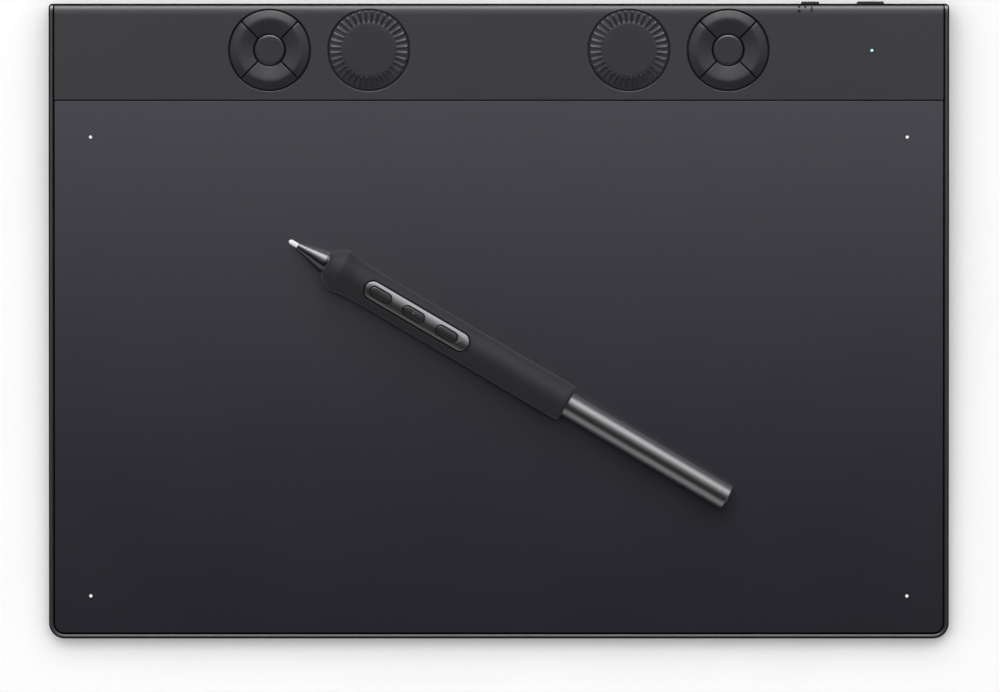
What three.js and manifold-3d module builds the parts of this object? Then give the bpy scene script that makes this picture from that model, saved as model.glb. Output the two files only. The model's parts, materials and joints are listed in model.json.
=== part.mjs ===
// A wireless pen drawing tablet with its pen lying on it, built as an assembly of separate pieces.
//
// Units are millimetres. X runs along the tablet's width, Y towards its rear edge and Z up; z = 0 is the desk.
// The tablet is a thin wedge: its underside is level and its top, the "deck", slopes down towards the user.
// The body is a cast tray that carries the drawing sheet and, behind it, a strip with ten keys and two dials.
// Everything above the tray's floor is modelled in the deck's own frame, where z = 0 is the top surface.
// The pen is modelled in a frame of its own, with x = 0 at the tip of its nib and +X towards its tail.

import * as THREE from "three";
import { mergeVertices } from "three/addons/utils/BufferGeometryUtils.js";
import Module from "manifold-3d";

const wasm = await Module();
wasm.setup();

// ---------------------------------------------------------------- driving dimensions: body

const BODY_WIDTH = 291;
const BODY_DEPTH = 205.2;
const FRONT_HEIGHT = 4;
const REAR_HEIGHT = 7;
const REAR_STANDOUT = 0.8; // how far the power button and the link switch stand out of the rear edge
const HALF_WIDTH = BODY_WIDTH / 2;
const HALF_DEPTH = BODY_DEPTH / 2;
const DECK_SLOPE = Math.atan((REAR_HEIGHT - FRONT_HEIGHT) / BODY_DEPTH);
const DECK_MIDDLE = (FRONT_HEIGHT + REAR_HEIGHT) / 2;

const FRONT_CORNER = 5; // plan radius of the tray's front corners
const REAR_CORNER = 1.3;
const CORNER_STEPS = 5;
const RAIL = 1.55; // width of the tray's visible rim
const SEAM = 0.4; // visible gap round the sheet and the strip
const RIM_BEVEL = 0.6;
const UNDER_BEVEL = 1.2;
const ROLL_DEPTH = 4; // the rear edge rolls over in a quarter ellipse, this deep from front to back
const ROLL_DROP = 1.4;
const ROLL_STEPS = 5;

const FOOT_PROUD = 0.5;
const FLOOR_THICK = 0.8;
const FLOOR_TOP = FOOT_PROUD + FLOOR_THICK;
const LEDGE = 1.5; // the tray's ledge under the edge of the sheet's backing plate
const LEDGE_DEPTH = 1.6; // below the deck
const REAR_LIP_TOP = 1.4; // above the desk

const STRIP_FRONT = 71.6; // the key strip starts here and runs to the rear edge
const COVER_THICK = 1.2;
const COVER_SKIRT = 5.45; // how far the strip's rear wall reaches below the deck
const CLEAR = 0.1; // between stacked boards and plates
const ASIDE = 0.25; // all round a moving piece in its opening

// ---------------------------------------------------------------- driving dimensions: inside

const SHEET_THICK = 0.5;
const BACKER_THICK = 0.9;
const SENSOR_THICK = 0.7;
const SHIELD_THICK = 0.25;
const BOARD_TOP = -4;
const BOARD_THICK = 0.8;
const BATTERY_SIZE = [46, 25, 3.2];
const BATTERY_CORNER = [-137, 74.6];

// ---------------------------------------------------------------- driving dimensions: controls

const CONTROL_ROW = 87.6; // Y of the keys' and dials' centres
const DIAL_X = 42;
const KEYS_X = 74.05;
const CONTROL_RADIUS = 12.95;
const FLANGE_RADIUS = 13.55;
const KEY_TRAVEL = 0.5;
const KEY_BOTTOM = -2.1;
const FLANGE_THICK = 0.6;
const CREST_RADIUS = 10.05; // the ridge that runs round the four ring keys
const CREST_HEIGHT = 1;
const CENTRE_KEY_RADIUS = 4.85;
const CENTRE_KEY_HEIGHT = 0.35;
const DIAL_FLAT_RADIUS = 9;
const DIAL_FLAT_HEIGHT = 0.55;
const DIAL_RIM_HEIGHT = 0.85;
const ENCODER_HUB = [2.9, -1.1]; // radius, top

const POWER_X = 120.1;
const POWER_SIZE = [8.8, 1.7];
const LINK_X = 101;
const LINK_SIZE = [5.85, 1.5];
const LINK_TRAVEL = 4; // three places, two millimetres apart, towards -X
const REAR_ROW_Z = -3.25; // height of the rear edge's port and controls, below the deck
const POWER_TRAVEL = 0.4;
const LIGHT_AT = [120.5, 87.5];
const USB_SIZE = [8.94, 3.2, 7.3];

// ---------------------------------------------------------------- driving dimensions: fixings

const SCREW_HEAD = [1.5, 0.55]; // radius, height
const SCREW_SHANK = 0.75;
const SCREW_HOLE = 0.9;
const CASE_BOSS = [3, 2.05]; // radius, height above the desk
const POST_RADIUS = 2;
const REAR_SCREWS = [[-140.3, 76], [-58, 76], [58, 76], [140.3, 76]];
const FRONT_SCREWS = [[-139.3, -96.8], [139.3, -96.8]];
const FOOT_SIZE = [46, 9, 0.75];
const FEET = {
  front_left: [-104, -86],
  front_right: [104, -86],
  rear_left: [-104, 84],
  rear_right: [104, 84],
};

// ---------------------------------------------------------------- driving dimensions: pen

const PEN_LENGTH = 164;
const PEN_YAW = THREE.MathUtils.degToRad(-30.45);
const PEN_TIP_AT = [-67.7, 26.1];
const PEN_REST_GAP = 0.05;
const NIB_RADIUS = 0.85;
const NIB_SHOWN = 3.4;
const NIB_STEM = 0.5;
const NIB_END = 31;
const CONE_END = 14;
const CONE_RADII = [1.25, 3.78];
const FLARE = [19.4, 7.25]; // distance from the tip, radius
const GRIP_WAIST = 25;
const GRIP_RADIUS = 6.25;
const GRIP_END = 104;
const BARREL_RADIUS = 4.1;
const BARREL_WALL = 0.6;
const TAIL_LENGTH = 2.6;
const CORE_RADIUS = 5;
const CORE_BORE = 3.9;
const PLATE_SPAN = [28.8, 67]; // from the tip
const PLATE_WIDTH = 5.9;
const PEN_BUTTON_SIZE = [7.7, 3.2];
const PEN_BUTTONS = { front: 34.4, middle: 46.7, rear: 59 };
const ROUND_STEPS = 24;
const RING_STEPS = 36; // round the wells, the ring keys and the dials
const HOLE_STEPS = 12;

// ---------------------------------------------------------------- materials

function material(colour, roughness, metalness = 0) {
  return new THREE.MeshStandardMaterial({ color: colour, roughness, metalness });
}

const MATERIALS = {
  castMetal: material(0x3a3a3d, 0.45, 0.6),
  stripCoat: material(0x3c3c3f, 0.55),
  sheet: material(0x39393e, 0.5),
  keycap: material(0x3b3b3e, 0.5),
  rubber: material(0x1c1c1e, 0.9),
  grip: material(0x2b2b2e, 0.8),
  penMetal: material(0x7c7c80, 0.3, 0.9),
  penCone: material(0x5c5c62, 0.32, 0.8),
  nib: material(0xf4f4f4, 0.5),
  lightPipe: material(0xcfe9ff, 0.3),
  circuit: material(0x1f5a37, 0.6),
  steel: material(0xb4b4b8, 0.35, 0.9),
  foil: material(0xc9c9cc, 0.4, 0.4),
  polymer: material(0x202022, 0.6),
  ferrite: material(0x3d3834, 0.7),
  flex: material(0xb56a2a, 0.5),
};

// ---------------------------------------------------------------- solids

// A closed three.js geometry as a manifold solid.
function solid(geometry) {
  const bare = geometry.clone();
  bare.deleteAttribute("normal");
  bare.deleteAttribute("uv");
  const merged = mergeVertices(bare, 1e-4);
  return new wasm.Manifold(
    new wasm.Mesh({
      numProp: 3,
      vertProperties: merged.attributes.position.array,
      triVerts: new Uint32Array(merged.index.array),
    }),
  );
}

// A manifold solid as a three.js geometry with flat-shaded normals.
function geometryOf(made) {
  const mesh = made.getMesh();
  const geometry = new THREE.BufferGeometry();
  geometry.setAttribute("position", new THREE.BufferAttribute(mesh.vertProperties, 3));
  geometry.setIndex(new THREE.BufferAttribute(mesh.triVerts, 1));
  const flat = geometry.toNonIndexed();
  flat.computeVertexNormals();
  return flat;
}

function cut(geometry, ...tools) {
  return geometryOf(tools.reduce((left, tool) => left.subtract(solid(tool)), solid(geometry)));
}

function join(geometry, ...others) {
  return geometryOf(others.reduce((whole, other) => whole.add(solid(other)), solid(geometry)));
}

function common(geometry, ...others) {
  return geometryOf(others.reduce((left, other) => left.intersect(solid(other)), solid(geometry)));
}

// ---------------------------------------------------------------- shapes

// A plan outline between x0..x1 and y0..y1, with one radius for its two front corners and one for its rear.
function plate(x0, x1, y0, y1, frontRadius = 0, rearRadius = frontRadius) {
  const shape = new THREE.Shape();
  shape.moveTo(x0 + frontRadius, y0);
  shape.lineTo(x1 - frontRadius, y0);
  if (frontRadius) shape.absarc(x1 - frontRadius, y0 + frontRadius, frontRadius, -Math.PI / 2, 0);
  shape.lineTo(x1, y1 - rearRadius);
  if (rearRadius) shape.absarc(x1 - rearRadius, y1 - rearRadius, rearRadius, 0, Math.PI / 2);
  shape.lineTo(x0 + rearRadius, y1);
  if (rearRadius) shape.absarc(x0 + rearRadius, y1 - rearRadius, rearRadius, Math.PI / 2, Math.PI);
  shape.lineTo(x0, y0 + frontRadius);
  if (frontRadius) shape.absarc(x0 + frontRadius, y0 + frontRadius, frontRadius, Math.PI, Math.PI * 1.5);
  return shape;
}

function stadium(length, width, x = 0, y = 0) {
  return plate(x - length / 2, x + length / 2, y - width / 2, y + width / 2, width / 2 - 1e-3);
}

// A shape in XY as a slab from z0 to z1.
function slab(shape, z0, z1, steps = CORNER_STEPS) {
  const made = new THREE.ExtrudeGeometry(shape, { depth: z1 - z0, bevelEnabled: false, curveSegments: steps });
  return made.translate(0, 0, z0);
}

function block(x0, x1, y0, y1, z0, z1) {
  const made = new THREE.BoxGeometry(x1 - x0, y1 - y0, z1 - z0);
  return made.translate((x0 + x1) / 2, (y0 + y1) / 2, (z0 + z1) / 2);
}

// A body of revolution about the Z axis, from a profile of [radius, z] pairs that runs upwards outside.
function turned(profile, steps = ROUND_STEPS) {
  const points = profile.map(([r, z]) => new THREE.Vector2(r, z));
  return new THREE.LatheGeometry(points, steps).rotateX(Math.PI / 2);
}

// The same about the X axis, from [x, radius] pairs that run towards +X outside.
function turnedAlongX(profile, steps = ROUND_STEPS) {
  return turned(profile.map(([x, r]) => [r, x]), steps).rotateY(Math.PI / 2);
}

function pin(x, y, radius, z0, z1, steps = HOLE_STEPS) {
  return turned([[0, z0], [radius, z0], [radius, z1], [0, z1]], steps).translate(x, y, 0);
}

function mesh(name, geometry, surface) {
  const made = new THREE.Mesh(geometry, surface);
  made.name = name;
  return made;
}

// ---------------------------------------------------------------- frames

const tablet = new THREE.Group();
tablet.position.y = -REAR_STANDOUT / 2; // the origin is the middle of the whole footprint

const deck = new THREE.Group();
deck.rotation.x = DECK_SLOPE;
deck.position.z = DECK_MIDDLE;
tablet.add(deck);

function deckTool(geometry) {
  return geometry.rotateX(DECK_SLOPE).translate(0, 0, DECK_MIDDLE);
}

// Height above the desk of a point y along the tablet and z above its deck.
function heightAt(y, z = 0) {
  return DECK_MIDDLE + y * Math.tan(DECK_SLOPE) + z;
}

// ---------------------------------------------------------------- body

// The side profile of the wedge in the deck frame's Y and Z: a flat top that rolls over at the rear edge.
function sideProfile(frontY, rearY, top, skirt, rollDepth, rollDrop) {
  const shape = new THREE.Shape();
  shape.moveTo(frontY, -skirt);
  shape.lineTo(rearY, -skirt);
  shape.lineTo(rearY, top - rollDrop);
  shape.absellipse(rearY - rollDepth, top - rollDrop, rollDepth, rollDrop, 0, Math.PI / 2);
  shape.lineTo(frontY, top);
  return shape;
}

// A side profile swept across the tablet, from x0 to x1.
function swept(profile, x0, x1) {
  const made = new THREE.ExtrudeGeometry(profile, {
    depth: x1 - x0,
    bevelEnabled: false,
    curveSegments: ROLL_STEPS,
  });
  return made.rotateX(Math.PI / 2).rotateZ(Math.PI / 2).translate(x0, 0, 0);
}

// The tray's outer form: a plan outline with a bevelled underside, capped by the sloping deck with its
// rounded rim and rolled rear edge.
function trayForm() {
  const outline = (shrink, front, rear) =>
    plate(shrink - HALF_WIDTH, HALF_WIDTH - shrink, shrink - HALF_DEPTH, HALF_DEPTH - shrink, front, rear);
  const bevelled = (bevel, depth) =>
    new THREE.ExtrudeGeometry(outline(bevel, FRONT_CORNER - bevel, Math.max(0.3, REAR_CORNER - bevel)), {
      depth,
      bevelEnabled: true,
      bevelThickness: bevel,
      bevelSize: bevel,
      bevelSegments: 2,
      curveSegments: CORNER_STEPS,
    });
  const tall = 3 * REAR_HEIGHT;
  const below = bevelled(UNDER_BEVEL, tall).translate(0, 0, FOOT_PROUD + UNDER_BEVEL);
  const above = deckTool(bevelled(RIM_BEVEL, tall).translate(0, 0, -tall - RIM_BEVEL));
  const profile = sideProfile(-BODY_DEPTH, HALF_DEPTH, 0, tall, ROLL_DEPTH, ROLL_DROP);
  const rolled = deckTool(swept(profile, -BODY_WIDTH, BODY_WIDTH));
  return common(below, above, rolled);
}

function bottomCase() {
  const rail = RAIL;
  const inner = (extra, rearY) =>
    plate(
      rail + extra - HALF_WIDTH,
      HALF_WIDTH - rail - extra,
      rail + extra - HALF_DEPTH,
      rearY,
      FRONT_CORNER - rail - Math.min(extra, 1),
      0,
    );
  const wide = inner(0, HALF_DEPTH + 1);
  const upperPocket = deckTool(slab(wide, -LEDGE_DEPTH, REAR_HEIGHT));
  const lowerPocket = slab(inner(LEDGE, HALF_DEPTH - UNDER_BEVEL - 1), FLOOR_TOP, 2 * REAR_HEIGHT);
  const rearMouth = block(rail - HALF_WIDTH, HALF_WIDTH - rail, STRIP_FRONT, HALF_DEPTH + 1, REAR_LIP_TOP, 20);
  const screws = [...REAR_SCREWS, ...FRONT_SCREWS];
  const bosses = screws.map(([x, y]) => pin(x, y, CASE_BOSS[0], FOOT_PROUD + 0.1, CASE_BOSS[1]));
  const heads = screws.map(([x, y]) => pin(x, y, SCREW_HEAD[0] + 0.2, 0, FOOT_PROUD + 0.9));
  const holes = screws.map(([x, y]) => pin(x, y, SCREW_HOLE, 0, REAR_HEIGHT));
  const pockets = Object.values(FEET).map(([x, y]) =>
    slab(stadium(FOOT_SIZE[0] + 0.4, FOOT_SIZE[1] + 0.4, x, y), 0, FOOT_SIZE[2] + 0.05),
  );
  const tray = cut(trayForm(), upperPocket, lowerPocket, rearMouth);
  return mesh("bottom_case", cut(join(tray, ...bosses), ...heads, ...holes, ...pockets), MATERIALS.castMetal);
}

function foot(name, [x, y]) {
  const pad = slab(stadium(FOOT_SIZE[0], FOOT_SIZE[1], x, y), 0, FOOT_SIZE[2]);
  return mesh(`foot_${name}`, pad, MATERIALS.rubber);
}

// A pan-head screw that is driven in from below.
function screw(name, [x, y], length) {
  const under = FOOT_PROUD + 0.3;
  const top = under + SCREW_HEAD[1];
  const body = turned(
    [[0, under], [SCREW_HEAD[0], under], [SCREW_HEAD[0], top], [SCREW_SHANK, top], [SCREW_SHANK, top + length],
      [0, top + length]],
    HOLE_STEPS,
  );
  const slot = (turn) => block(-0.75, 0.75, -0.16, 0.16, 0, under + 0.3).rotateZ(turn);
  return mesh(`screw_${name}`, cut(body, slot(0), slot(Math.PI / 2)).translate(x, y, 0), MATERIALS.steel);
}

function drawingSheet() {
  const edge = HALF_WIDTH - RAIL - SEAM;
  const front = RAIL + SEAM - HALF_DEPTH;
  const outline = plate(-edge, edge, front, STRIP_FRONT - SEAM, FRONT_CORNER - RAIL - SEAM, 0.3);
  return mesh("drawing_sheet", slab(outline, -SHEET_THICK, 0), MATERIALS.sheet);
}

// The rigid plate under the sheet, with two posts that take the front screws.
function sheetBackingPlate() {
  const edge = HALF_WIDTH - RAIL - 0.9;
  const top = -SHEET_THICK - CLEAR;
  const front = RAIL + 0.9 - HALF_DEPTH;
  const board = slab(plate(-edge, edge, front, STRIP_FRONT - 0.6, 3, 0.5), top - BACKER_THICK, top);
  const posts = FRONT_SCREWS.map(([x, y]) => {
    const bottom = CASE_BOSS[1] + 0.1 - heightAt(y);
    return pin(x, y, POST_RADIUS, bottom, top - 0.1);
  });
  const bores = FRONT_SCREWS.map(([x, y]) => pin(x, y, SCREW_HOLE, -REAR_HEIGHT, top - 0.3));
  return mesh("sheet_backing_plate", cut(join(board, ...posts), ...bores), MATERIALS.polymer);
}

function sensorBoard() {
  const top = -SHEET_THICK - BACKER_THICK - 2 * CLEAR;
  const board = slab(plate(-140, 140, -98.6, 70, 1), top - SENSOR_THICK, top);
  const notches = FRONT_SCREWS.map(([x, y]) => pin(x, y, CASE_BOSS[0] + 0.3, -REAR_HEIGHT, 0));
  return mesh("sensor_board", cut(board, ...notches), MATERIALS.circuit);
}

function shieldPlate() {
  const top = -SHEET_THICK - BACKER_THICK - SENSOR_THICK - 3 * CLEAR;
  const board = slab(plate(-139, 139, -97.6, 64, 1), top - SHIELD_THICK, top);
  const notches = FRONT_SCREWS.map(([x, y]) => pin(x, y, CASE_BOSS[0] + 0.5, -REAR_HEIGHT, 0));
  return mesh("magnetic_shield_plate", cut(board, ...notches), MATERIALS.steel);
}

// ---------------------------------------------------------------- key strip

function sideOpening(x, width, height) {
  const inside = HALF_DEPTH - 3 * COVER_THICK;
  const z = REAR_ROW_Z;
  return block(x - width / 2, x + width / 2, inside, HALF_DEPTH + 1, z - height / 2, z + height / 2);
}

function usbOutline(grow) {
  return stadium(USB_SIZE[0] + 2 * grow, USB_SIZE[1] + 2 * grow);
}

// A port-shaped slab that runs along Y, from y0 to y1.
function usbSlab(grow, y0, y1) {
  return slab(usbOutline(grow), y0, y1, 4).rotateX(-Math.PI / 2).translate(0, 0, REAR_ROW_Z);
}

function keyStripCover() {
  const edge = HALF_WIDTH - RAIL - SEAM;
  const inside = edge - COVER_THICK;
  const innerRoll = 0.4;
  const outer = sideProfile(STRIP_FRONT, HALF_DEPTH, 0, COVER_SKIRT, ROLL_DEPTH, ROLL_DROP);
  const inner = sideProfile(
    STRIP_FRONT - 1, HALF_DEPTH - COVER_THICK, -COVER_THICK, COVER_SKIRT + 1, innerRoll, innerRoll,
  );
  const shell = cut(swept(outer, -edge, edge), swept(inner, -inside, inside));
  const endRelief = [-1, 1].map((side) =>
    block(side * edge - 2 * COVER_THICK, side * edge + 2 * COVER_THICK, STRIP_FRONT - 1,
      HALF_DEPTH - COVER_THICK, -REAR_HEIGHT, -LEDGE_DEPTH + 0.1),
  );
  const posts = REAR_SCREWS.map(([x, y]) => {
    const bottom = CASE_BOSS[1] + 0.15 - heightAt(y);
    return pin(x, y, POST_RADIUS, bottom, -COVER_THICK / 2);
  });
  const bores = REAR_SCREWS.map(([x, y]) => pin(x, y, SCREW_HOLE, -REAR_HEIGHT, -2));
  const wells = [-KEYS_X, -DIAL_X, DIAL_X, KEYS_X].map((x) =>
    pin(x, CONTROL_ROW, CONTROL_RADIUS + ASIDE, -2, 2, RING_STEPS),
  );
  const linkSlot = sideOpening(
    LINK_X - LINK_TRAVEL / 2,
    LINK_SIZE[0] + LINK_TRAVEL + 2 * ASIDE,
    LINK_SIZE[1] + 2 * ASIDE,
  );
  const powerSlot = sideOpening(POWER_X, POWER_SIZE[0] + 2 * ASIDE, POWER_SIZE[1] + 2 * ASIDE);
  const port = usbSlab(ASIDE, HALF_DEPTH - 3 * COVER_THICK, HALF_DEPTH + 1);
  const light = pin(...LIGHT_AT, 0.65, -2, 2);
  const body = join(cut(shell, ...endRelief), ...posts);
  return mesh(
    "key_strip_cover",
    cut(body, ...bores, ...wells, linkSlot, powerSlot, port, light),
    MATERIALS.stripCoat,
  );
}

// The ring of four keys before it is divided: a low ridge that falls to the panel outside and to a dish inside.
function keyRing() {
  const inner = CENTRE_KEY_RADIUS + 0.4;
  return turned(
    [[inner, KEY_BOTTOM], [FLANGE_RADIUS, KEY_BOTTOM], [FLANGE_RADIUS, KEY_BOTTOM + FLANGE_THICK],
      [CONTROL_RADIUS, KEY_BOTTOM + FLANGE_THICK], [CONTROL_RADIUS, 0], [CONTROL_RADIUS - 0.15, 0.15],
      [CREST_RADIUS + 0.5, CREST_HEIGHT - 0.04], [CREST_RADIUS, CREST_HEIGHT],
      [CREST_RADIUS - 0.5, CREST_HEIGHT - 0.04], [inner + 0.15, 0.1], [inner, 0], [inner, KEY_BOTTOM]],
    RING_STEPS,
  );
}

// A quarter of the ring: what lies inside a right-angled wedge whose sides stand off the diagonals.
function ringKey(name, x, turn) {
  const reach = 2 * FLANGE_RADIUS;
  const offset = ASIDE / 2 / Math.sin(Math.PI / 4);
  const wedge = new THREE.Shape();
  wedge.moveTo(0, offset);
  wedge.lineTo(reach, reach + offset);
  wedge.lineTo(-reach, reach + offset);
  const quarter = common(keyRing(), slab(wedge, 2 * KEY_BOTTOM, 2 * CREST_HEIGHT).rotateZ(turn));
  return mesh(name, quarter.translate(x, CONTROL_ROW, 0), MATERIALS.keycap);
}

function centreKey(name, x) {
  const bevel = 0.3;
  const body = turned([
    [0, KEY_BOTTOM], [CENTRE_KEY_RADIUS, KEY_BOTTOM], [CENTRE_KEY_RADIUS, CENTRE_KEY_HEIGHT - bevel],
    [CENTRE_KEY_RADIUS - bevel, CENTRE_KEY_HEIGHT], [0, CENTRE_KEY_HEIGHT],
  ]);
  return mesh(name, body.translate(x, CONTROL_ROW, 0), MATERIALS.keycap);
}

function keySet(side, x) {
  const turns = { rear: 0, left: Math.PI / 2, front: Math.PI, right: -Math.PI / 2 };
  const ring = Object.entries(turns).map(([way, turn]) => ringKey(`${side}_key_${way}`, x, turn));
  return [...ring, centreKey(`${side}_key_centre`, x)];
}

// The silicone mat with one dome under each key of a set.
function domeMat(name, x) {
  const base = BOARD_TOP + 0.05;
  const domeTop = KEY_BOTTOM - KEY_TRAVEL - 0.15;
  const middle = (CENTRE_KEY_RADIUS + CONTROL_RADIUS) / 2;
  const domes = [[0, 0], [middle, 0], [0, middle], [-middle, 0], [0, -middle]].map(([dx, dy]) =>
    turned([[0, base], [1.8, base], [1.2, domeTop], [0, domeTop]], HOLE_STEPS).translate(dx, dy, 0),
  );
  const mat = join(pin(0, 0, 12.4, base, base + 0.5, ROUND_STEPS), ...domes);
  return mesh(name, mat.translate(x, CONTROL_ROW, 0), MATERIALS.rubber);
}

// A dial: a flat disc inside a raised rim that slopes down to the edge, on a socket for the encoder's hub.
function dial(name, x) {
  const bottom = KEY_BOTTOM - 0.1;
  const flangeTop = bottom + FLANGE_THICK;
  const socket = [ENCODER_HUB[0] + 0.3, ENCODER_HUB[1] + 0.2];
  const body = turned(
    [[0, socket[1]], socket, [socket[0], bottom], [FLANGE_RADIUS, bottom], [FLANGE_RADIUS, flangeTop],
      [CONTROL_RADIUS, flangeTop], [CONTROL_RADIUS, 0], [DIAL_FLAT_RADIUS + 1.2, DIAL_RIM_HEIGHT],
      [DIAL_FLAT_RADIUS + 0.3, DIAL_RIM_HEIGHT], [DIAL_FLAT_RADIUS, DIAL_FLAT_HEIGHT], [0, DIAL_FLAT_HEIGHT]],
    RING_STEPS,
  );
  return mesh(name, body.translate(x, CONTROL_ROW, 0), MATERIALS.keycap);
}

// The dial's rotary encoder: a fixed base on the board and the hub that the dial turns on.
function dialEncoder(name, x) {
  const radius = 9;
  const base = BOARD_TOP + 0.05;
  const top = -2.7;
  const [hubRadius, hubTop] = ENCODER_HUB;
  const body = turned([
    [0, base], [radius, base], [radius, top], [hubRadius, top], [hubRadius, hubTop], [0, hubTop],
  ]);
  return mesh(name, body.translate(x, CONTROL_ROW, 0), MATERIALS.polymer);
}

// ---------------------------------------------------------------- rear edge controls

// A button or knob in the rear wall, with a wider flange behind the wall that keeps it in.
function rearControl(name, x, [width, height], flangeWidth, ridges = 0) {
  const inner = HALF_DEPTH - COVER_THICK;
  const face = new THREE.Shape();
  const rear = HALF_DEPTH + REAR_STANDOUT;
  const taper = 0.4;
  face.moveTo(-width / 2, inner - 1.2);
  face.lineTo(width / 2, inner - 1.2);
  face.lineTo(width / 2, rear - taper);
  face.lineTo(width / 2 - taper, rear);
  face.lineTo(taper - width / 2, rear);
  face.lineTo(-width / 2, rear - taper);
  const z = REAR_ROW_Z;
  const body = slab(face, z - height / 2, z + height / 2);
  const flange = block(-flangeWidth / 2, flangeWidth / 2, inner - 0.9, inner - 0.2, z - 1.3, z + 1.3);
  const pitch = width / (ridges + 1);
  const grooves = Array.from({ length: ridges }, (_, i) =>
    pin(pitch * (i + 1) - width / 2, rear + 0.15, 0.35, z - height, z + height, 8),
  );
  return mesh(name, cut(join(body, flange), ...grooves).translate(x, 0, 0), MATERIALS.keycap);
}

function switchBody(name, x, width, rearY) {
  const body = block(x - width / 2, x + width / 2, rearY - 2.6, rearY, BOARD_TOP + 0.05, REAR_ROW_Z + 1);
  return mesh(name, body, MATERIALS.polymer);
}

function statusLightPipe() {
  return mesh("status_light_pipe", pin(...LIGHT_AT, 0.5, BOARD_TOP + 0.05, 0), MATERIALS.lightPipe);
}

// ---------------------------------------------------------------- electronics

function mainBoard() {
  const board = slab(plate(-86, 136.8, 73.4, 99.7, 0.8), BOARD_TOP - BOARD_THICK, BOARD_TOP);
  const postHoles = [REAR_SCREWS[1], REAR_SCREWS[2]].map(([x, y]) =>
    pin(x, y, CASE_BOSS[0] + 0.3, -REAR_HEIGHT, 0),
  );
  const portNotch = block(-4.9, 4.9, 94.6, 102, -REAR_HEIGHT, 0);
  return mesh("main_board", cut(board, ...postHoles, portNotch), MATERIALS.circuit);
}

// A mid-mounted socket: a metal shell with a closed back and a tongue in the middle.
function usbSocket() {
  const mouth = HALF_DEPTH - 0.1;
  const back = mouth - USB_SIZE[2];
  const shell = cut(usbSlab(0, back, mouth), usbSlab(-0.3, back + 1, mouth + 1));
  const z = REAR_ROW_Z;
  const tongue = block(-3.3, 3.3, back + 0.5, mouth - 0.9, z - 0.35, z + 0.35);
  return mesh("usb_c_socket", join(shell, tongue), MATERIALS.steel);
}

function batteryPack() {
  const [width, depth, thick] = BATTERY_SIZE;
  const [left, front] = BATTERY_CORNER;
  const outline = plate(left, left + width, front, front + depth, 1.5);
  return mesh("battery_pack", slab(outline, -COVER_THICK - 0.4 - thick, -COVER_THICK - 0.4, 3), MATERIALS.foil);
}

function boardPart(name, x0, x1, y0, y1, height, surface) {
  return mesh(name, block(x0, x1, y0, y1, BOARD_TOP + 0.05, BOARD_TOP + 0.05 + height), surface);
}

// The flat flexible cable that steps down from the sensor board to the main board.
function sensorFlex() {
  const thick = 0.2;
  const high = -SHEET_THICK - BACKER_THICK - SENSOR_THICK - 3 * CLEAR;
  const low = BOARD_TOP + 0.05 + thick;
  const section = new THREE.Shape();
  section.moveTo(65.5, high);
  section.lineTo(69.6, high);
  section.lineTo(75, low);
  section.lineTo(78.6, low);
  section.lineTo(78.6, low - thick);
  section.lineTo(74.9, low - thick);
  section.lineTo(69.5, high - thick);
  section.lineTo(65.5, high - thick);
  return mesh("sensor_flex_cable", swept(section, -12, 12), MATERIALS.flex);
}

// ---------------------------------------------------------------- pen

const pen = new THREE.Group();
const PEN_PITCH = Math.asin((FLARE[1] - GRIP_RADIUS) / (GRIP_END - FLARE[0]));
pen.rotation.set(0, PEN_PITCH, PEN_YAW, "ZYX");
pen.position.set(...PEN_TIP_AT, FLARE[1] + FLARE[0] * Math.sin(PEN_PITCH) + PEN_REST_GAP);
deck.add(pen);

// A pill-shaped prism that stands on the pen's axis and points up, for windows in its top side.
function upright(x0, x1, width, bottom, top) {
  return slab(stadium(x1 - x0, width, (x0 + x1) / 2, 0), bottom, top, 5);
}

function tube(x0, x1, outer, inner, steps = ROUND_STEPS) {
  return turnedAlongX([[x0, inner], [x0, outer], [x1, outer], [x1, inner], [x0, inner]], steps);
}

function rod(x0, x1, radius, steps = ROUND_STEPS) {
  return turnedAlongX([[x0, 0], [x0, radius], [x1, radius], [x1, 0]], steps);
}

function penNib() {
  const body = turnedAlongX(
    [[0, 0], [0.08, 0.4], [0.35, 0.68], [0.8, NIB_RADIUS], [NIB_SHOWN + 1.4, NIB_RADIUS],
      [NIB_SHOWN + 2, NIB_STEM], [NIB_END, NIB_STEM], [NIB_END, 0]],
    HOLE_STEPS,
  );
  return mesh("pen_nib", body, MATERIALS.nib);
}

function penNoseCone() {
  const bore = NIB_RADIUS + 0.15;
  const body = turnedAlongX([
    [NIB_SHOWN, bore], [NIB_SHOWN, CONE_RADII[0]], [CONE_END - 0.3, CONE_RADII[1] - 0.05],
    [CONE_END, CONE_RADII[1]], [CONE_END + 1.6, CONE_RADII[1]], [CONE_END + 1.6, 2.4], [CONE_END - 6, bore],
    [NIB_SHOWN, bore],
  ]);
  return mesh("pen_nose_cone", body, MATERIALS.penCone);
}

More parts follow.
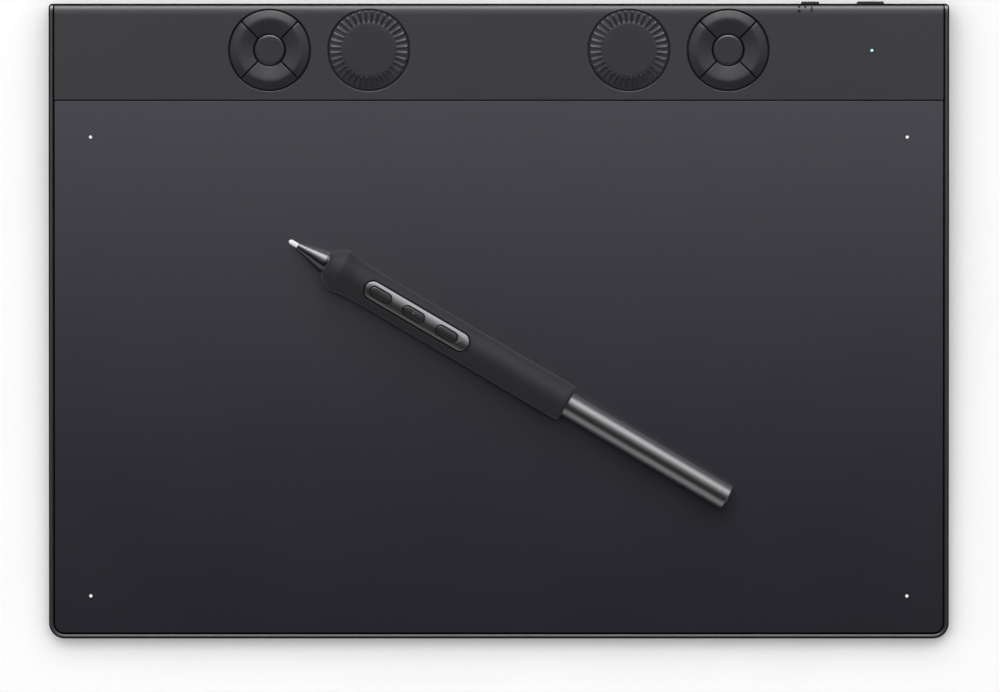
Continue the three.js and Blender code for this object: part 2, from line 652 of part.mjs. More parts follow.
// The soft sleeve: it flares out ahead of the fingers and is otherwise a plain cylinder with a window on top.
function penGrip() {
  const bore = CORE_RADIUS + 0.1;
  const edge = 0.8;
  const sleeve = turnedAlongX([
    [CONE_END + 0.1, CONE_RADII[1] + 0.15], [CONE_END + 0.1, 4.55], [CONE_END + 0.4, 4.9],
    [FLARE[0] - 1.2, FLARE[1] - 0.25], [FLARE[0], FLARE[1]], [FLARE[0] + 1.2, FLARE[1] - 0.12],
    [GRIP_WAIST, GRIP_RADIUS + 0.05], [GRIP_WAIST + 2, GRIP_RADIUS], [GRIP_END - edge, GRIP_RADIUS],
    [GRIP_END - edge * 0.3, GRIP_RADIUS - edge * 0.3], [GRIP_END, GRIP_RADIUS - edge],
    [GRIP_END, BARREL_RADIUS + 0.15], [GRIP_END - 1, BARREL_RADIUS + 0.15], [GRIP_END - 1, bore],
    [CONE_END + 2, bore], [CONE_END + 2, CONE_RADII[1] + 0.15], [CONE_END + 0.1, CONE_RADII[1] + 0.15],
  ]);
  const window = upright(PLATE_SPAN[0] - 0.3, PLATE_SPAN[1] + 0.3, PLATE_WIDTH + 0.6, 0, 2 * GRIP_RADIUS);
  return mesh("pen_grip", cut(sleeve, window), MATERIALS.grip);
}

// The hard tube inside the grip. Its spigot carries the barrel.
function penCore() {
  const front = CONE_END + 2.1;
  const rear = GRIP_END - 1.2;
  const spigot = BARREL_RADIUS - BARREL_WALL - 0.1;
  const body = turnedAlongX([
    [front, 2.6], [front, CORE_RADIUS], [rear, CORE_RADIUS], [rear, spigot], [GRIP_END + 8, spigot],
    [GRIP_END + 8, 2.6], [rear - 2, 2.6], [rear - 4, CORE_BORE], [front + 3, CORE_BORE], [front + 1.5, 2.6],
    [front, 2.6],
  ]);
  const window = upright(PLATE_SPAN[0] + 0.6, PLATE_SPAN[1] - 0.6, PLATE_WIDTH - 1.2, 0, 2 * GRIP_RADIUS);
  return mesh("pen_core_tube", cut(body, window), MATERIALS.polymer);
}

// The plate that frames the side buttons. It follows the curve of the grip and lies in its window.
function penButtonPlate() {
  const shell = tube(PLATE_SPAN[0] - 1, PLATE_SPAN[1] + 1, GRIP_RADIUS + 0.05, CORE_RADIUS + 0.1, RING_STEPS);
  const outline = upright(PLATE_SPAN[0], PLATE_SPAN[1], PLATE_WIDTH, 0, 2 * GRIP_RADIUS);
  const [length, width] = PEN_BUTTON_SIZE;
  const holes = Object.values(PEN_BUTTONS).map((x) =>
    upright(x - length / 2 - ASIDE, x + length / 2 + ASIDE, width + 2 * ASIDE, 0, 2 * GRIP_RADIUS),
  );
  return mesh("pen_button_plate", cut(common(shell, outline), ...holes), MATERIALS.penMetal);
}

function penButton(name, x) {
  const [length, width] = PEN_BUTTON_SIZE;
  const shell = tube(x - length, x + length, GRIP_RADIUS + 0.35, 3.4, RING_STEPS);
  return mesh(
    `pen_button_${name}`,
    common(shell, upright(x - length / 2, x + length / 2, width, 0, 2 * GRIP_RADIUS)),
    MATERIALS.keycap,
  );
}

function penBarrel() {
  const rear = PEN_LENGTH - TAIL_LENGTH;
  const shell = tube(GRIP_END - 0.9, rear, BARREL_RADIUS, BARREL_RADIUS - BARREL_WALL);
  return mesh("pen_barrel", shell, MATERIALS.penMetal);
}

function penTailCap() {
  const front = PEN_LENGTH - TAIL_LENGTH + 0.05;
  const plug = BARREL_RADIUS - BARREL_WALL - 0.1;
  const body = turnedAlongX([
    [front - 3, 0], [front - 3, plug], [front, plug], [front, BARREL_RADIUS], [PEN_LENGTH - 0.4, BARREL_RADIUS],
    [PEN_LENGTH, BARREL_RADIUS - 0.4], [PEN_LENGTH, 0],
  ]);
  return mesh("pen_tail_cap", body, MATERIALS.penMetal);
}

// The coil on its ferrite sleeve, which the nib's stem runs through.
function penCoil() {
  return mesh("pen_ferrite_coil", tube(17.6, 28.6, 2.2, 0.9, HOLE_STEPS), MATERIALS.ferrite);
}

function penPressureSensor() {
  const body = turnedAlongX(
    [[29.4, 0.7], [29.4, 2.4], [36, 2.4], [36, 0], [NIB_END + 0.6, 0], [NIB_END + 0.6, 0.7], [29.4, 0.7]],
    HOLE_STEPS,
  );
  return mesh("pen_pressure_sensor", body, MATERIALS.steel);
}

function penCircuitBoard() {
  return mesh("pen_circuit_board", block(36.6, 96, -1.6, 1.6, -0.4, 0.4), MATERIALS.circuit);
}

function penBalanceWeight() {
  return mesh("pen_balance_weight", rod(118, 134, 3.3), MATERIALS.steel);
}

// ---------------------------------------------------------------- assembly

tablet.add(
  bottomCase(),
  ...Object.entries(FEET).map(([name, place]) => foot(name, place)),
  ...REAR_SCREWS.map((place, i) => screw(`rear_${i + 1}`, place, 3.1)),
  ...FRONT_SCREWS.map((place, i) => screw(`front_${i + 1}`, place, 1.7)),
);

deck.add(
  drawingSheet(),
  sheetBackingPlate(),
  sensorBoard(),
  shieldPlate(),
  keyStripCover(),
  ...keySet("left", -KEYS_X),
  ...keySet("right", KEYS_X),
  domeMat("left_key_dome_mat", -KEYS_X),
  domeMat("right_key_dome_mat", KEYS_X),
  dial("left_dial", -DIAL_X),
  dial("right_dial", DIAL_X),
  dialEncoder("left_dial_encoder", -DIAL_X),
  dialEncoder("right_dial_encoder", DIAL_X),
  rearControl("power_button", POWER_X, POWER_SIZE, 10.6),
  rearControl("link_switch_knob", LINK_X, LINK_SIZE, 8, 5),
  switchBody("power_switch", POWER_X, 6.4, HALF_DEPTH - COVER_THICK - 1.2 - POWER_TRAVEL - 0.2),
  switchBody("link_switch_body", LINK_X - LINK_TRAVEL / 2, 11, HALF_DEPTH - COVER_THICK - 1.5),
  statusLightPipe(),
  mainBoard(),
  usbSocket(),
  batteryPack(),
  boardPart("radio_module", -24, -10, 86, 98, 1.5, MATERIALS.steel),
  boardPart("pen_controller_chip", 10, 20, 84, 94, 0.9, MATERIALS.polymer),
  sensorFlex(),
);

pen.add(
  penNib(),
  penNoseCone(),
  penGrip(),
  penCore(),
  penButtonPlate(),
  ...Object.entries(PEN_BUTTONS).map(([name, x]) => penButton(name, x)),
  penBarrel(),
  penTailCap(),
  penCoil(),
  penPressureSensor(),
  penCircuitBoard(),
  penBalanceWeight(),
);

export default tablet;
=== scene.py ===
"""The looks of the pen drawing tablet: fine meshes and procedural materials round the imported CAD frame.

Each piece is modelled in millimetres, in the frame that suits it, and then brought into the row frame:
  TABLET  level, with its origin on the desk under the middle of the body
  DECK    the sloping top: z = 0 is the surface, +X to the right and +Y to the rear
  PEN     x = 0 at the tip of the nib, +X towards the tail and +Z through the side buttons
"""

import json
import math

import bmesh
import bpy
from mathutils import Matrix, Vector


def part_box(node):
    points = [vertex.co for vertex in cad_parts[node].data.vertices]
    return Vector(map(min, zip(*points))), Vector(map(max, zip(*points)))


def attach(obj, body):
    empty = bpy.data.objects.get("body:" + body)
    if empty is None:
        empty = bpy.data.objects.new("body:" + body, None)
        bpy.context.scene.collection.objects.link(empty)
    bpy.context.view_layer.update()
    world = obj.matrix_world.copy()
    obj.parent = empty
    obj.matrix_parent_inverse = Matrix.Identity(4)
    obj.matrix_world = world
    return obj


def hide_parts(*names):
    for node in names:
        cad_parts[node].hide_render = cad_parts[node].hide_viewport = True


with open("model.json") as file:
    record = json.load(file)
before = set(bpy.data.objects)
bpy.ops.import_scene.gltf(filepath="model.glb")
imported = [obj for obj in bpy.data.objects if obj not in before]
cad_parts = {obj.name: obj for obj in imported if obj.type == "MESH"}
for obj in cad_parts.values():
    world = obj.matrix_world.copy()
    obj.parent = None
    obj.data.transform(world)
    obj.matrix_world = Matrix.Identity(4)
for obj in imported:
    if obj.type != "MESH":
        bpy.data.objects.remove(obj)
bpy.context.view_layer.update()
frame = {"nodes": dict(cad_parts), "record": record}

MM = 0.001

# ------------------------------------------------------------ driving dimensions, in millimetres

# How far the cutting tools reach, sideways and upwards: past everything here.
FAR, HIGH = 200, 20

CASE_LOW, CASE_HIGH = (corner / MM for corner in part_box("bottom_case"))
HALF_WIDTH = (CASE_HIGH.x - CASE_LOW.x) / 2
HALF_DEPTH = 102.6
MIDDLE_Y = -0.4
FRONT_HEIGHT, REAR_HEIGHT = 4, 7
SLOPE = math.atan((REAR_HEIGHT - FRONT_HEIGHT) / (2 * HALF_DEPTH))
MIDDLE_HEIGHT = (FRONT_HEIGHT + REAR_HEIGHT) / 2
FRONT_CORNER, REAR_CORNER = 5, 1.3
RAIL = 1.55
SEAM, SHEET_SEAM = 0.4, 0.48
RAIL_INSIDE, RIM_INSIDE = 1.47, 1.35
UNDER_BEVEL = 1.2
SHOULDER_DROP, SHOULDER_WIDTH = 1.3, 0.5
SIDE_ROUND, FRONT_ROUND, INNER_ROUND = 0.3, 0.35, 0.42
ROLL_DEPTH, ROLL_DROP, ROLL_POWER = 4, 1.4, 0.75
FOOT_PROUD = 0.5
FLOOR_TOP = 1.3
LEDGE, LEDGE_DEPTH = 1.5, 1.6
REAR_LIP_TOP = 1.4
STRIP_FRONT = 71.6
COVER_THICK = 1.2
COVER_SKIRT = 5.45
SHEET_THICK = 0.5

CONTROL_ROW = 87.6
DIAL_X, KEYS_X = 42, 74.05
CONTROL_RADIUS, WELL_RADIUS, FLANGE_RADIUS, FLANGE_TOP = 12.76, 13.38, 13.55, -1.9
ASIDE, PORT_ASIDE, PEN_ASIDE, KEY_GAP = 0.25, 0.12, 0.42, 0.48
KEY_BOTTOM = -2.1
CENTRE_KEY_RADIUS, CENTRE_KEY_HEIGHT = 4.85, 0.35
CREST_RADIUS, CREST_HEIGHT = 10.05, 0.98
OUTER_SLOPE, INNER_SLOPE = math.radians(14), math.radians(10)
DIAL_FLAT_RADIUS, DIAL_FLAT_HEIGHT = 8.9, 0.55
RIB_COUNT, RIB_HEIGHT, RIB_SINK = 36, 0.46, 0.2
REAR_ROW_Z = -3.25
POWER_X, POWER_SIZE = 120.1, (8.8, 1.7)
LINK_X, LINK_SIZE, LINK_TRAVEL = 100.6, (5.85, 1.5), 4
REAR_STANDOUT, REAR_REACH = 0.8, 4
LIGHT_AT, LIGHT_RADIUS = (120.5, 87.5), 0.42
USB_SIZE = (8.94, 3.2, 7.3)
FOOT_SIZE = (46, 9, 0.75)
FEET = {
    "front_left": (-104, -86), "front_right": (104, -86),
    "rear_left": (-104, 84), "rear_right": (104, 84),
}
SCREWS = {
    "rear_1": (-140.3, 76), "rear_2": (-58, 76), "rear_3": (58, 76), "rear_4": (140.3, 76),
    "front_1": (-139.3, -96.8), "front_2": (139.3, -96.8),
}
MARK_X, MARK_ROWS = 131.9, (-88.8, 59.5)

PEN_LENGTH = 164
PEN_YAW = math.radians(-30.45)
PEN_TIP_AT = (-67.7, 26.1)
FLARE_AT, FLARE_RADIUS = 19.4, 7.25
GRIP_START, GRIP_END, GRIP_RADIUS = 14.35, 104, 6.25
PEN_PITCH = math.asin((FLARE_RADIUS - GRIP_RADIUS) / (GRIP_END - FLARE_AT))
PEN_HEIGHT = FLARE_RADIUS + FLARE_AT * math.sin(PEN_PITCH) + 0.05
NIB_RADIUS, NIB_SHOWN = 0.85, 3.4
CONE_END, CONE_RADII = 14, (1.25, 3.7)
BARREL_RADIUS, BARREL_WALL, TAIL_LENGTH = 4.1, 0.6, 2.6
CORE_RADIUS = 5
PLATE_SPAN, PLATE_WIDTH = (28.8, 67), 5.9
PEN_BUTTON_SIZE = (7.7, 3.2)
PEN_BUTTONS = {"front": 34.4, "middle": 46.7, "rear": 59}

ROUND_STEPS, SMALL_ROUND_STEPS = 128, 48
CORNER_STEPS = 16
BEVEL_STEPS = 6
EDGE_BREAK = 0.08

# ------------------------------------------------------------ frames

TILT = Matrix.Translation((0, 0, MIDDLE_HEIGHT)) @ Matrix.Rotation(SLOPE, 4, "X")
TABLET = Matrix.Scale(MM, 4) @ Matrix.Translation((0, MIDDLE_Y, 0))
DECK = TABLET @ TILT
PEN = (
    DECK
    @ Matrix.Translation((*PEN_TIP_AT, PEN_HEIGHT))
    @ Matrix.Rotation(PEN_YAW, 4, "Z")
    @ Matrix.Rotation(PEN_PITCH, 4, "Y")
)


def deck_height(y):
    """Height of the deck above the desk at y."""
    return MIDDLE_HEIGHT + y * math.tan(SLOPE)


# ------------------------------------------------------------ meshes

def mesh_object(name, vertices, faces):
    """An object with that mesh, its double points joined and its faces turned outwards."""
    data = bpy.data.meshes.new(name)
    data.from_pydata([tuple(v) for v in vertices], [], faces)
    edit = bmesh.new()
    edit.from_mesh(data)
    bmesh.ops.remove_doubles(edit, verts=edit.verts, dist=1e-5)
    bmesh.ops.recalc_face_normals(edit, faces=edit.faces)
    edit.to_mesh(data)
    edit.free()
    made = bpy.data.objects.new(name, data)
    bpy.context.scene.collection.objects.link(made)
    return made


def loft(name, rings, capped=True):
    """A skin over closed rings of points that all have the same count, with a flat face over each end."""
    count = len(rings[0])
    faces = []
    for i in range(len(rings) - 1):
        for k in range(count):
            after = (k + 1) % count
            faces.append((i * count + k, i * count + after, (i + 1) * count + after, (i + 1) * count + k))
    if capped:
        faces.append(tuple(reversed(range(count))))
        faces.append(tuple(range((len(rings) - 1) * count, len(rings) * count)))
    return mesh_object(name, [point for ring in rings for point in ring], faces)


def prism(name, outline, z0, z1):
    """An outline in X and Y as a solid from z0 to z1."""
    return loft(name, [[(x, y, z) for x, y in outline] for z in (z0, z1)])


def prism_along_x(name, outline, x0, x1):
    """An outline in Y and Z as a solid from x0 to x1."""
    return loft(name, [[(x, y, z) for y, z in outline] for x in (x0, x1)])


def prism_along_y(name, outline, y0, y1):
    """An outline in X and Z as a solid from y0 to y1."""
    return loft(name, [[(x, y, z) for x, z in outline] for y in (y0, y1)])


def turned(name, profile, steps=ROUND_STEPS):
    """A body of revolution about Z, from a profile of (radius, z)."""
    turns = [2 * math.pi * k / steps for k in range(steps)]
    rings = [[(r * math.cos(a), r * math.sin(a), z) for a in turns] for r, z in profile]
    return loft(name, rings, capped=False)


def turned_along_x(name, profile, steps=ROUND_STEPS):
    """A body of revolution about X, from a profile of (x, radius)."""
    turns = [2 * math.pi * k / steps for k in range(steps)]
    rings = [[(x, r * math.cos(a), r * math.sin(a)) for a in turns] for x, r in profile]
    return loft(name, rings, capped=False)


def pin(x, y, radius, z0, z1, steps):
    """A round tool that stands along Z."""
    return moved(turned("tool", [(0, z0), (radius, z0), (radius, z1), (0, z1)], steps), (x, y, 0))


def block(x0, x1, y0, y1, z0, z1):
    """A square tool."""
    return prism("tool", [(x0, y0), (x1, y0), (x1, y1), (x0, y1)], z0, z1)


def rounded(x0, x1, y0, y1, front, rear=None):
    """A rectangle with round corners, one radius at its front and one at its rear."""
    rear = front if rear is None else rear
    corners = ((x1 - rear, y1 - rear, rear, 0), (x0 + rear, y1 - rear, rear, 90),
               (x0 + front, y0 + front, front, 180), (x1 - front, y0 + front, front, 270))
    points = []
    for cx, cy, radius, start in corners:
        for k in range(CORNER_STEPS + 1 if radius else 1):
            a = math.radians(start + 90 * k / CORNER_STEPS)
            points.append((cx + radius * math.cos(a), cy + radius * math.sin(a)))
    return points


def stadium(length, width, x=0, y=0):
    """A slot with round ends, length along X by width along Y."""
    radius = min(length, width) / 2 - 1e-3
    return rounded(x - length / 2, x + length / 2, y - width / 2, y + width / 2, radius)


def moved(piece, offset):
    """Shifts a piece's mesh."""
    piece.data.transform(Matrix.Translation(offset))
    return piece


def turned_by(piece, matrix):
    """Transforms a piece's mesh."""
    piece.data.transform(matrix)
    return piece


def settle(piece):
    """Turns a piece's modifiers into its mesh."""
    evaluated = piece.evaluated_get(bpy.context.evaluated_depsgraph_get())
    data = bpy.data.meshes.new_from_object(evaluated)
    piece.modifiers.clear()
    piece.data = data


def carve(piece, *tools, operation="DIFFERENCE"):
    """Cuts the tools out of a piece, or joins or intersects them, and removes them."""
    for tool in tools:
        modifier = piece.modifiers.new("carve", "BOOLEAN")
        modifier.operation = operation
        modifier.solver = "EXACT"
        modifier.object = tool
        settle(piece)
        bpy.data.objects.remove(tool)
    return piece


def bevel(piece, width, segments=3, angle=30):
    """Rounds the edges that are sharper than angle."""
    modifier = piece.modifiers.new("bevel", "BEVEL")
    modifier.width = width
    modifier.segments = segments
    modifier.limit_method = "ANGLE"
    modifier.angle_limit = math.radians(angle)
    modifier.use_clamp_overlap = True
    settle(piece)
    return piece


def place(piece, matrix, material, slot, body, *nodes, angle=35):
    """Brings a piece into the row frame, shades it, and lets it ride in place of its CAD nodes."""
    piece.data.transform(matrix)
    for face in piece.data.polygons:
        face.use_smooth = True
    piece.data.set_sharp_from_angle(angle=math.radians(angle))
    piece.data.materials.clear()
    piece.data.materials.append(material)
    shade = piece.modifiers.new("shade", "WEIGHTED_NORMAL")
    shade.keep_sharp = True
    if nodes:
        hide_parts(*nodes)
    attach(piece, body)
    return piece


# ------------------------------------------------------------ materials

class Surface:
    """A Principled material whose colour, roughness and bump vary with noise over the surface."""

    def __init__(self, name, colour, roughness, metallic=0.0, **sockets):
        self.material = bpy.data.materials.new(name)
        self.material.use_nodes = True
        self.nodes = self.material.node_tree.nodes
        self.links = self.material.node_tree.links
        self.shader = self.nodes["Principled BSDF"]
        self.shader.inputs["Base Color"].default_value = (*colour, 1)
        self.shader.inputs["Roughness"].default_value = roughness
        self.shader.inputs["Metallic"].default_value = metallic
        for socket, value in sockets.items():
            self.shader.inputs[socket.replace("_", " ")].default_value = value
        self.colour = colour
        self.roughness = roughness
        self.place = self.nodes.new("ShaderNodeTexCoord").outputs["Object"]
        self.normal = None

    def link(self, source, target):
        self.links.new(source, target)

    def stretched(self, scale):
        """The object's own coordinates, stretched along each axis."""
        mapping = self.nodes.new("ShaderNodeMapping")
        mapping.inputs["Scale"].default_value = scale
        self.link(self.place, mapping.inputs["Vector"])
        return mapping.outputs["Vector"]

    def noise(self, size_mm, detail=2.0, stretch=(1, 1, 1)):
        """Noise whose lumps are about size_mm across."""
        made = self.nodes.new("ShaderNodeTexNoise")
        made.inputs["Scale"].default_value = 1 / (size_mm * MM)
        made.inputs["Detail"].default_value = detail
        self.link(self.stretched(stretch), made.inputs["Vector"])
        return made.outputs["Fac"]

    def ramp(self, value, low, high, from_low=0.3, from_high=0.7):
        """Maps a value linearly from one range to another."""
        made = self.nodes.new("ShaderNodeMapRange")
        ends = {"From Min": from_low, "From Max": from_high, "To Min": low, "To Max": high}
        for socket, number in ends.items():
            made.inputs[socket].default_value = number
        self.link(value, made.inputs["Value"])
        return made.outputs["Result"]

    def mottle(self, value, amount):
        """Lets the colour get darker and lighter by amount as value goes from low to high."""
        mix = self.nodes.new("ShaderNodeMix")
        mix.data_type = "RGBA"
        mix.inputs["A"].default_value = (*(c * (1 - amount) for c in self.colour), 1)
        mix.inputs["B"].default_value = (*(c * (1 + amount) for c in self.colour), 1)
        self.link(self.ramp(value, 0, 1), mix.inputs["Factor"])
        self.link(mix.outputs["Result"], self.shader.inputs["Base Color"])
        return self

    def polish(self, value, amount):
        """Lets the roughness vary by amount."""
        rough = self.ramp(value, self.roughness - amount, self.roughness + amount)
        self.link(rough, self.shader.inputs["Roughness"])
        return self

    def paint_shade_on_sides(self, amount, roughness):
        """Paints shade: the colour sinks where the surface turns away from the sky, and the roughness grows
        there.
        """
        split = self.nodes.new("ShaderNodeSeparateXYZ")
        self.link(self.nodes.new("ShaderNodeNewGeometry").outputs["Normal"], split.inputs["Vector"])
        upward = self.ramp(split.outputs["Z"], 0, 1, 0.55, 0.97)
        mix = self.nodes.new("ShaderNodeMix")
        mix.data_type = "RGBA"
        mix.inputs["A"].default_value = (*(c * (1 - amount) for c in self.colour), 1)
        self.link(self.shader.inputs["Base Color"].links[0].from_socket, mix.inputs["B"])
        self.link(upward, mix.inputs["Factor"])
        self.link(mix.outputs["Result"], self.shader.inputs["Base Color"])
        self.link(self.ramp(upward, roughness, self.roughness, 0, 1), self.shader.inputs["Roughness"])
        return self

    def scatter_when_grazed(self):
        """Spreads the gloss where the view skims the surface, as a fine tooth does."""
        widest, start, full = 0.9, 0.76, 0.95
        weight = self.nodes.new("ShaderNodeLayerWeight")
        larger = self.nodes.new("ShaderNodeMath")
        larger.operation = "MAXIMUM"
        self.link(self.shader.inputs["Roughness"].links[0].from_socket, larger.inputs[0])
        self.link(self.ramp(weight.outputs["Facing"], 0, widest, start, full), larger.inputs[1])
        self.link(larger.outputs["Value"], self.shader.inputs["Roughness"])
        return self

    def bump(self, height, depth_mm):
        """Raises the surface by depth_mm where height is 1, over what is already raised."""
        made = self.nodes.new("ShaderNodeBump")
        made.inputs["Distance"].default_value = depth_mm * MM
        self.link(height, made.inputs["Height"])
        if self.normal:
            self.link(self.normal, made.inputs["Normal"])
        self.normal = made.outputs["Normal"]
        self.link(self.normal, self.shader.inputs["Normal"])
        return self


def grained(name, colour, roughness, grain_mm, depth_mm, metallic=0.0, **sockets):
    """A moulded or coated surface: an even fine grain, with faint cloudiness in colour and gloss."""
    made = Surface(name, colour, roughness, metallic, **sockets)
    made.mottle(made.noise(grain_mm * 1.6, 3), 0.06)
    made.polish(made.noise(14, 3), 0.01)
    made.scatter_when_grazed()
    made.bump(made.noise(grain_mm, 2), depth_mm)
    return made.material


def case_coating():
    """The rim's satin coating, glossier along its top, with painted shade that makes it blacker down its
    sides.
    """
    made = Surface("case_coat", (0.014, 0.014, 0.015), 0.3, Specular_IOR_Level=0.85)
    made.mottle(made.noise(0.25, 3), 0.06)
    # painted shade: the base colour turns blacker down the rim's sides, where less light falls
    made.paint_shade_on_sides(0.8, 0.5)
    made.scatter_when_grazed()
    made.bump(made.noise(0.15, 2), 0.004)
    return made.material


def drawing_film():
    """The sheet's matt film: a fine tooth, over a very faint unevenness."""
    tint = (0.93, 0.91, 1, 1)
    gloss = {"Specular_IOR_Level": 1.0, "IOR": 1.63, "Specular_Tint": tint}
    made = Surface("drawing_film", (0.0008, 0.0005, 0.003), 0.29, **gloss)
    made.mottle(made.noise(0.25, 3), 0.08)
    made.polish(made.noise(25, 3), 0.006)
    made.scatter_when_grazed()
    made.bump(made.noise(0.12, 1), 0.003)
    made.bump(made.noise(0.5, 2), 0.003)
    return made.material


def brushed_metal(name, colour, roughness, across=(1, 1, 1)):
    """Blasted and anodised metal: a bright fine speckle with faint streaks."""
    made = Surface(name, colour, roughness, 1.0)
    made.mottle(made.noise(0.16, 3, across), 0.08)
    made.polish(made.noise(0.4, 3, across), 0.03)
    made.bump(made.noise(0.1, 2, across), 0.0012)
    return made.material


def soft_rubber(name, colour, roughness, grain_mm):
    """Soft-touch rubber: very matt, with a velvety sheen at its edges."""
    tint = (0.97, 0.94, 1, 1)
    made = Surface(name, colour, roughness, Specular_IOR_Level=0.4, Specular_Tint=tint, Sheen_Weight=0.09,
                   Sheen_Roughness=0.4, Sheen_Tint=tint)
    made.mottle(made.noise(grain_mm * 2, 4), 0.1)
    made.polish(made.noise(6, 3), 0.02)
    made.bump(made.noise(grain_mm, 3), 0.008)
    return made.material


def circuit_laminate():
    """Green solder mask over copper tracks that run in steps."""
    made = Surface("circuit_laminate", (0.012, 0.09, 0.045), 0.35)
    tracks = made.nodes.new("ShaderNodeTexBrick")
    tracks.inputs["Scale"].default_value = 1 / (3 * MM)
    tracks.inputs["Mortar Size"].default_value = 0.04
    made.link(made.place, tracks.inputs["Vector"])
    made.mottle(made.ramp(tracks.outputs["Fac"], 0.2, 0.8, 0, 1), 0.4)
    made.bump(tracks.outputs["Fac"], 0.03)
    return made.material


def worn_nib():
    """White acetal that greys a little with wear, in soft patches."""
    made = Surface("nib_acetal", (0.62, 0.62, 0.61), 0.45, Subsurface_Weight=0.1, Subsurface_Scale=0.0006)
    made.mottle(made.noise(0.7, 4), 0.05)
    made.polish(made.noise(0.5, 3), 0.08)
    made.bump(made.noise(0.15, 2), 0.004)
    return made.material


def lit_pipe():
    """A pale blue-white light that is brightest in its middle grain."""
    made = Surface("status_light", (0.5, 0.8, 1.0), 0.3, Emission_Strength=0.65)
    glow = made.nodes.new("ShaderNodeMix")
    glow.data_type = "RGBA"
    glow.inputs["A"].default_value = (0.25, 0.62, 1.0, 1)
    glow.inputs["B"].default_value = (0.55, 0.85, 1.0, 1)
    made.link(made.ramp(made.noise(0.3), 0, 1), glow.inputs["Factor"])
    made.link(glow.outputs["Result"], made.shader.inputs["Emission Color"])
    return made.material


MATERIALS = {
    "case_coat": case_coating(),
    "case_shell": grained("case_shell", (0.003, 0.003, 0.003), 0.7, 0.2, 0.008, Specular_IOR_Level=0.08),
    "strip_coat": grained("strip_coat", (0.0185, 0.018, 0.0215), 0.36, 0.18, 0.004,
                          Specular_IOR_Level=0.46),
    "drawing_film": drawing_film(),
    "key_plastic": grained("key_plastic", (0.0115, 0.0107, 0.0143), 0.35, 0.15, 0.004,
                           Specular_IOR_Level=0.5),
    "foot_rubber": soft_rubber("foot_rubber", (0.012, 0.012, 0.012), 0.85, 0.3),
    "dome_silicone": soft_rubber("dome_silicone", (0.03, 0.03, 0.032), 0.6, 0.4),
    "inner_plastic": grained("inner_plastic", (0.008, 0.008, 0.0085), 0.6, 0.3, 0.015,
                             Specular_IOR_Level=0.2),
    "light_pipe": lit_pipe(),
    "circuit_board": circuit_laminate(),
    "steel": brushed_metal("steel", (0.5, 0.5, 0.52), 0.3, (1, 12, 1)),
    "battery_foil": brushed_metal("battery_foil", (0.6, 0.6, 0.62), 0.35),
    "flex_film": grained("flex_film", (0.014, 0.009, 0.005), 0.4, 0.5, 0.004, Specular_IOR_Level=0.2),
    "pen_grip_rubber": soft_rubber("pen_grip_rubber", (0.004, 0.0038, 0.005), 0.72, 0.16),
    "pen_metal": brushed_metal("pen_metal", (0.135, 0.135, 0.139), 0.35),
    "pen_button_plastic": grained("pen_button_coat", (0.044, 0.044, 0.047), 0.3, 0.12, 0.006, metallic=0.8),
    "pen_cone_metal": brushed_metal("pen_cone_metal", (0.066, 0.066, 0.07), 0.26),
    "nib_plastic": worn_nib(),
    "ferrite": grained("ferrite", (0.035, 0.03, 0.028), 0.7, 0.3, 0.02),
}
PRINT = grained("white_print", (0.75, 0.75, 0.76), 0.6, 0.2, 0.001)
DARK_PRINT = grained("black_print", (0.002, 0.002, 0.002), 0.6, 0.2, 0.001, Specular_IOR_Level=0.1)
GOLD = brushed_metal("gold_plating", (0.75, 0.52, 0.2), 0.25)


# ------------------------------------------------------------ tray and sheet

def rolled_profile(front, rear, top, skirt, depth, drop, steps=20):
    """The side profile of the wedge in the deck's Y and Z. Its rear edge rolls over in a superellipse."""
    points = []
    for k in range(steps + 1):
        a = math.pi / 2 * k / steps
        y = rear - depth + depth * math.cos(a) ** ROLL_POWER
        points.append((y, top - drop + drop * math.sin(a) ** ROLL_POWER))
    return points + [(front, top), (front, -skirt), (rear, -skirt)]


def tray_ring(inset, height):
    """One ring round the tray's outline. Both are functions: inset of the outward Y, height of y and that."""
    ring = []
    corners = ((1, 1, REAR_CORNER, 0), (-1, 1, REAR_CORNER, 90), (-1, -1, FRONT_CORNER, 180),
               (1, -1, FRONT_CORNER, 270))
    for side, end, radius, start in corners:
        for k in range(CORNER_STEPS + 1):
            a = math.radians(start + 90 * k / CORNER_STEPS)
            out = Vector((math.cos(a), math.sin(a))) * (radius - inset(math.sin(a)))
            x = side * (HALF_WIDTH - radius) + out.x
            y = end * (HALF_DEPTH - radius) + out.y
            ring.append((x, y, height(y, math.sin(a))))
    return ring


def edge_round(outward_y):
    """Radius of the rim's outer edge: small at the sides, growing to the fuller round of the front edge."""
    return SIDE_ROUND + (FRONT_ROUND - SIDE_ROUND) * max(0, -outward_y) ** 2


def tray_form():
    """The tray's outer form: rounded underneath, with a shoulder between the lower shell and the rim."""
    rings = []
    for k in range(BEVEL_STEPS + 1):
        a = math.pi / 2 * k / BEVEL_STEPS
        inset = UNDER_BEVEL * (1 - math.sin(a))
        height = FOOT_PROUD + UNDER_BEVEL * (1 - math.cos(a))
        rings.append(tray_ring(lambda ny, i=inset: i, lambda y, ny, h=height: h))
    for inset in (0, SHOULDER_WIDTH):
        rings.append(tray_ring(lambda ny, i=inset: i, lambda y, ny: deck_height(y) - SHOULDER_DROP))
    for k in range(BEVEL_STEPS + 1):
        a = math.pi / 2 * k / BEVEL_STEPS
        rings.append(tray_ring(
            lambda ny, s=1 - math.cos(a): SHOULDER_WIDTH + edge_round(ny) * s,
            lambda y, ny, s=1 - math.sin(a): deck_height(y) - edge_round(ny) * s,
        ))
    return loft("tray", rings)


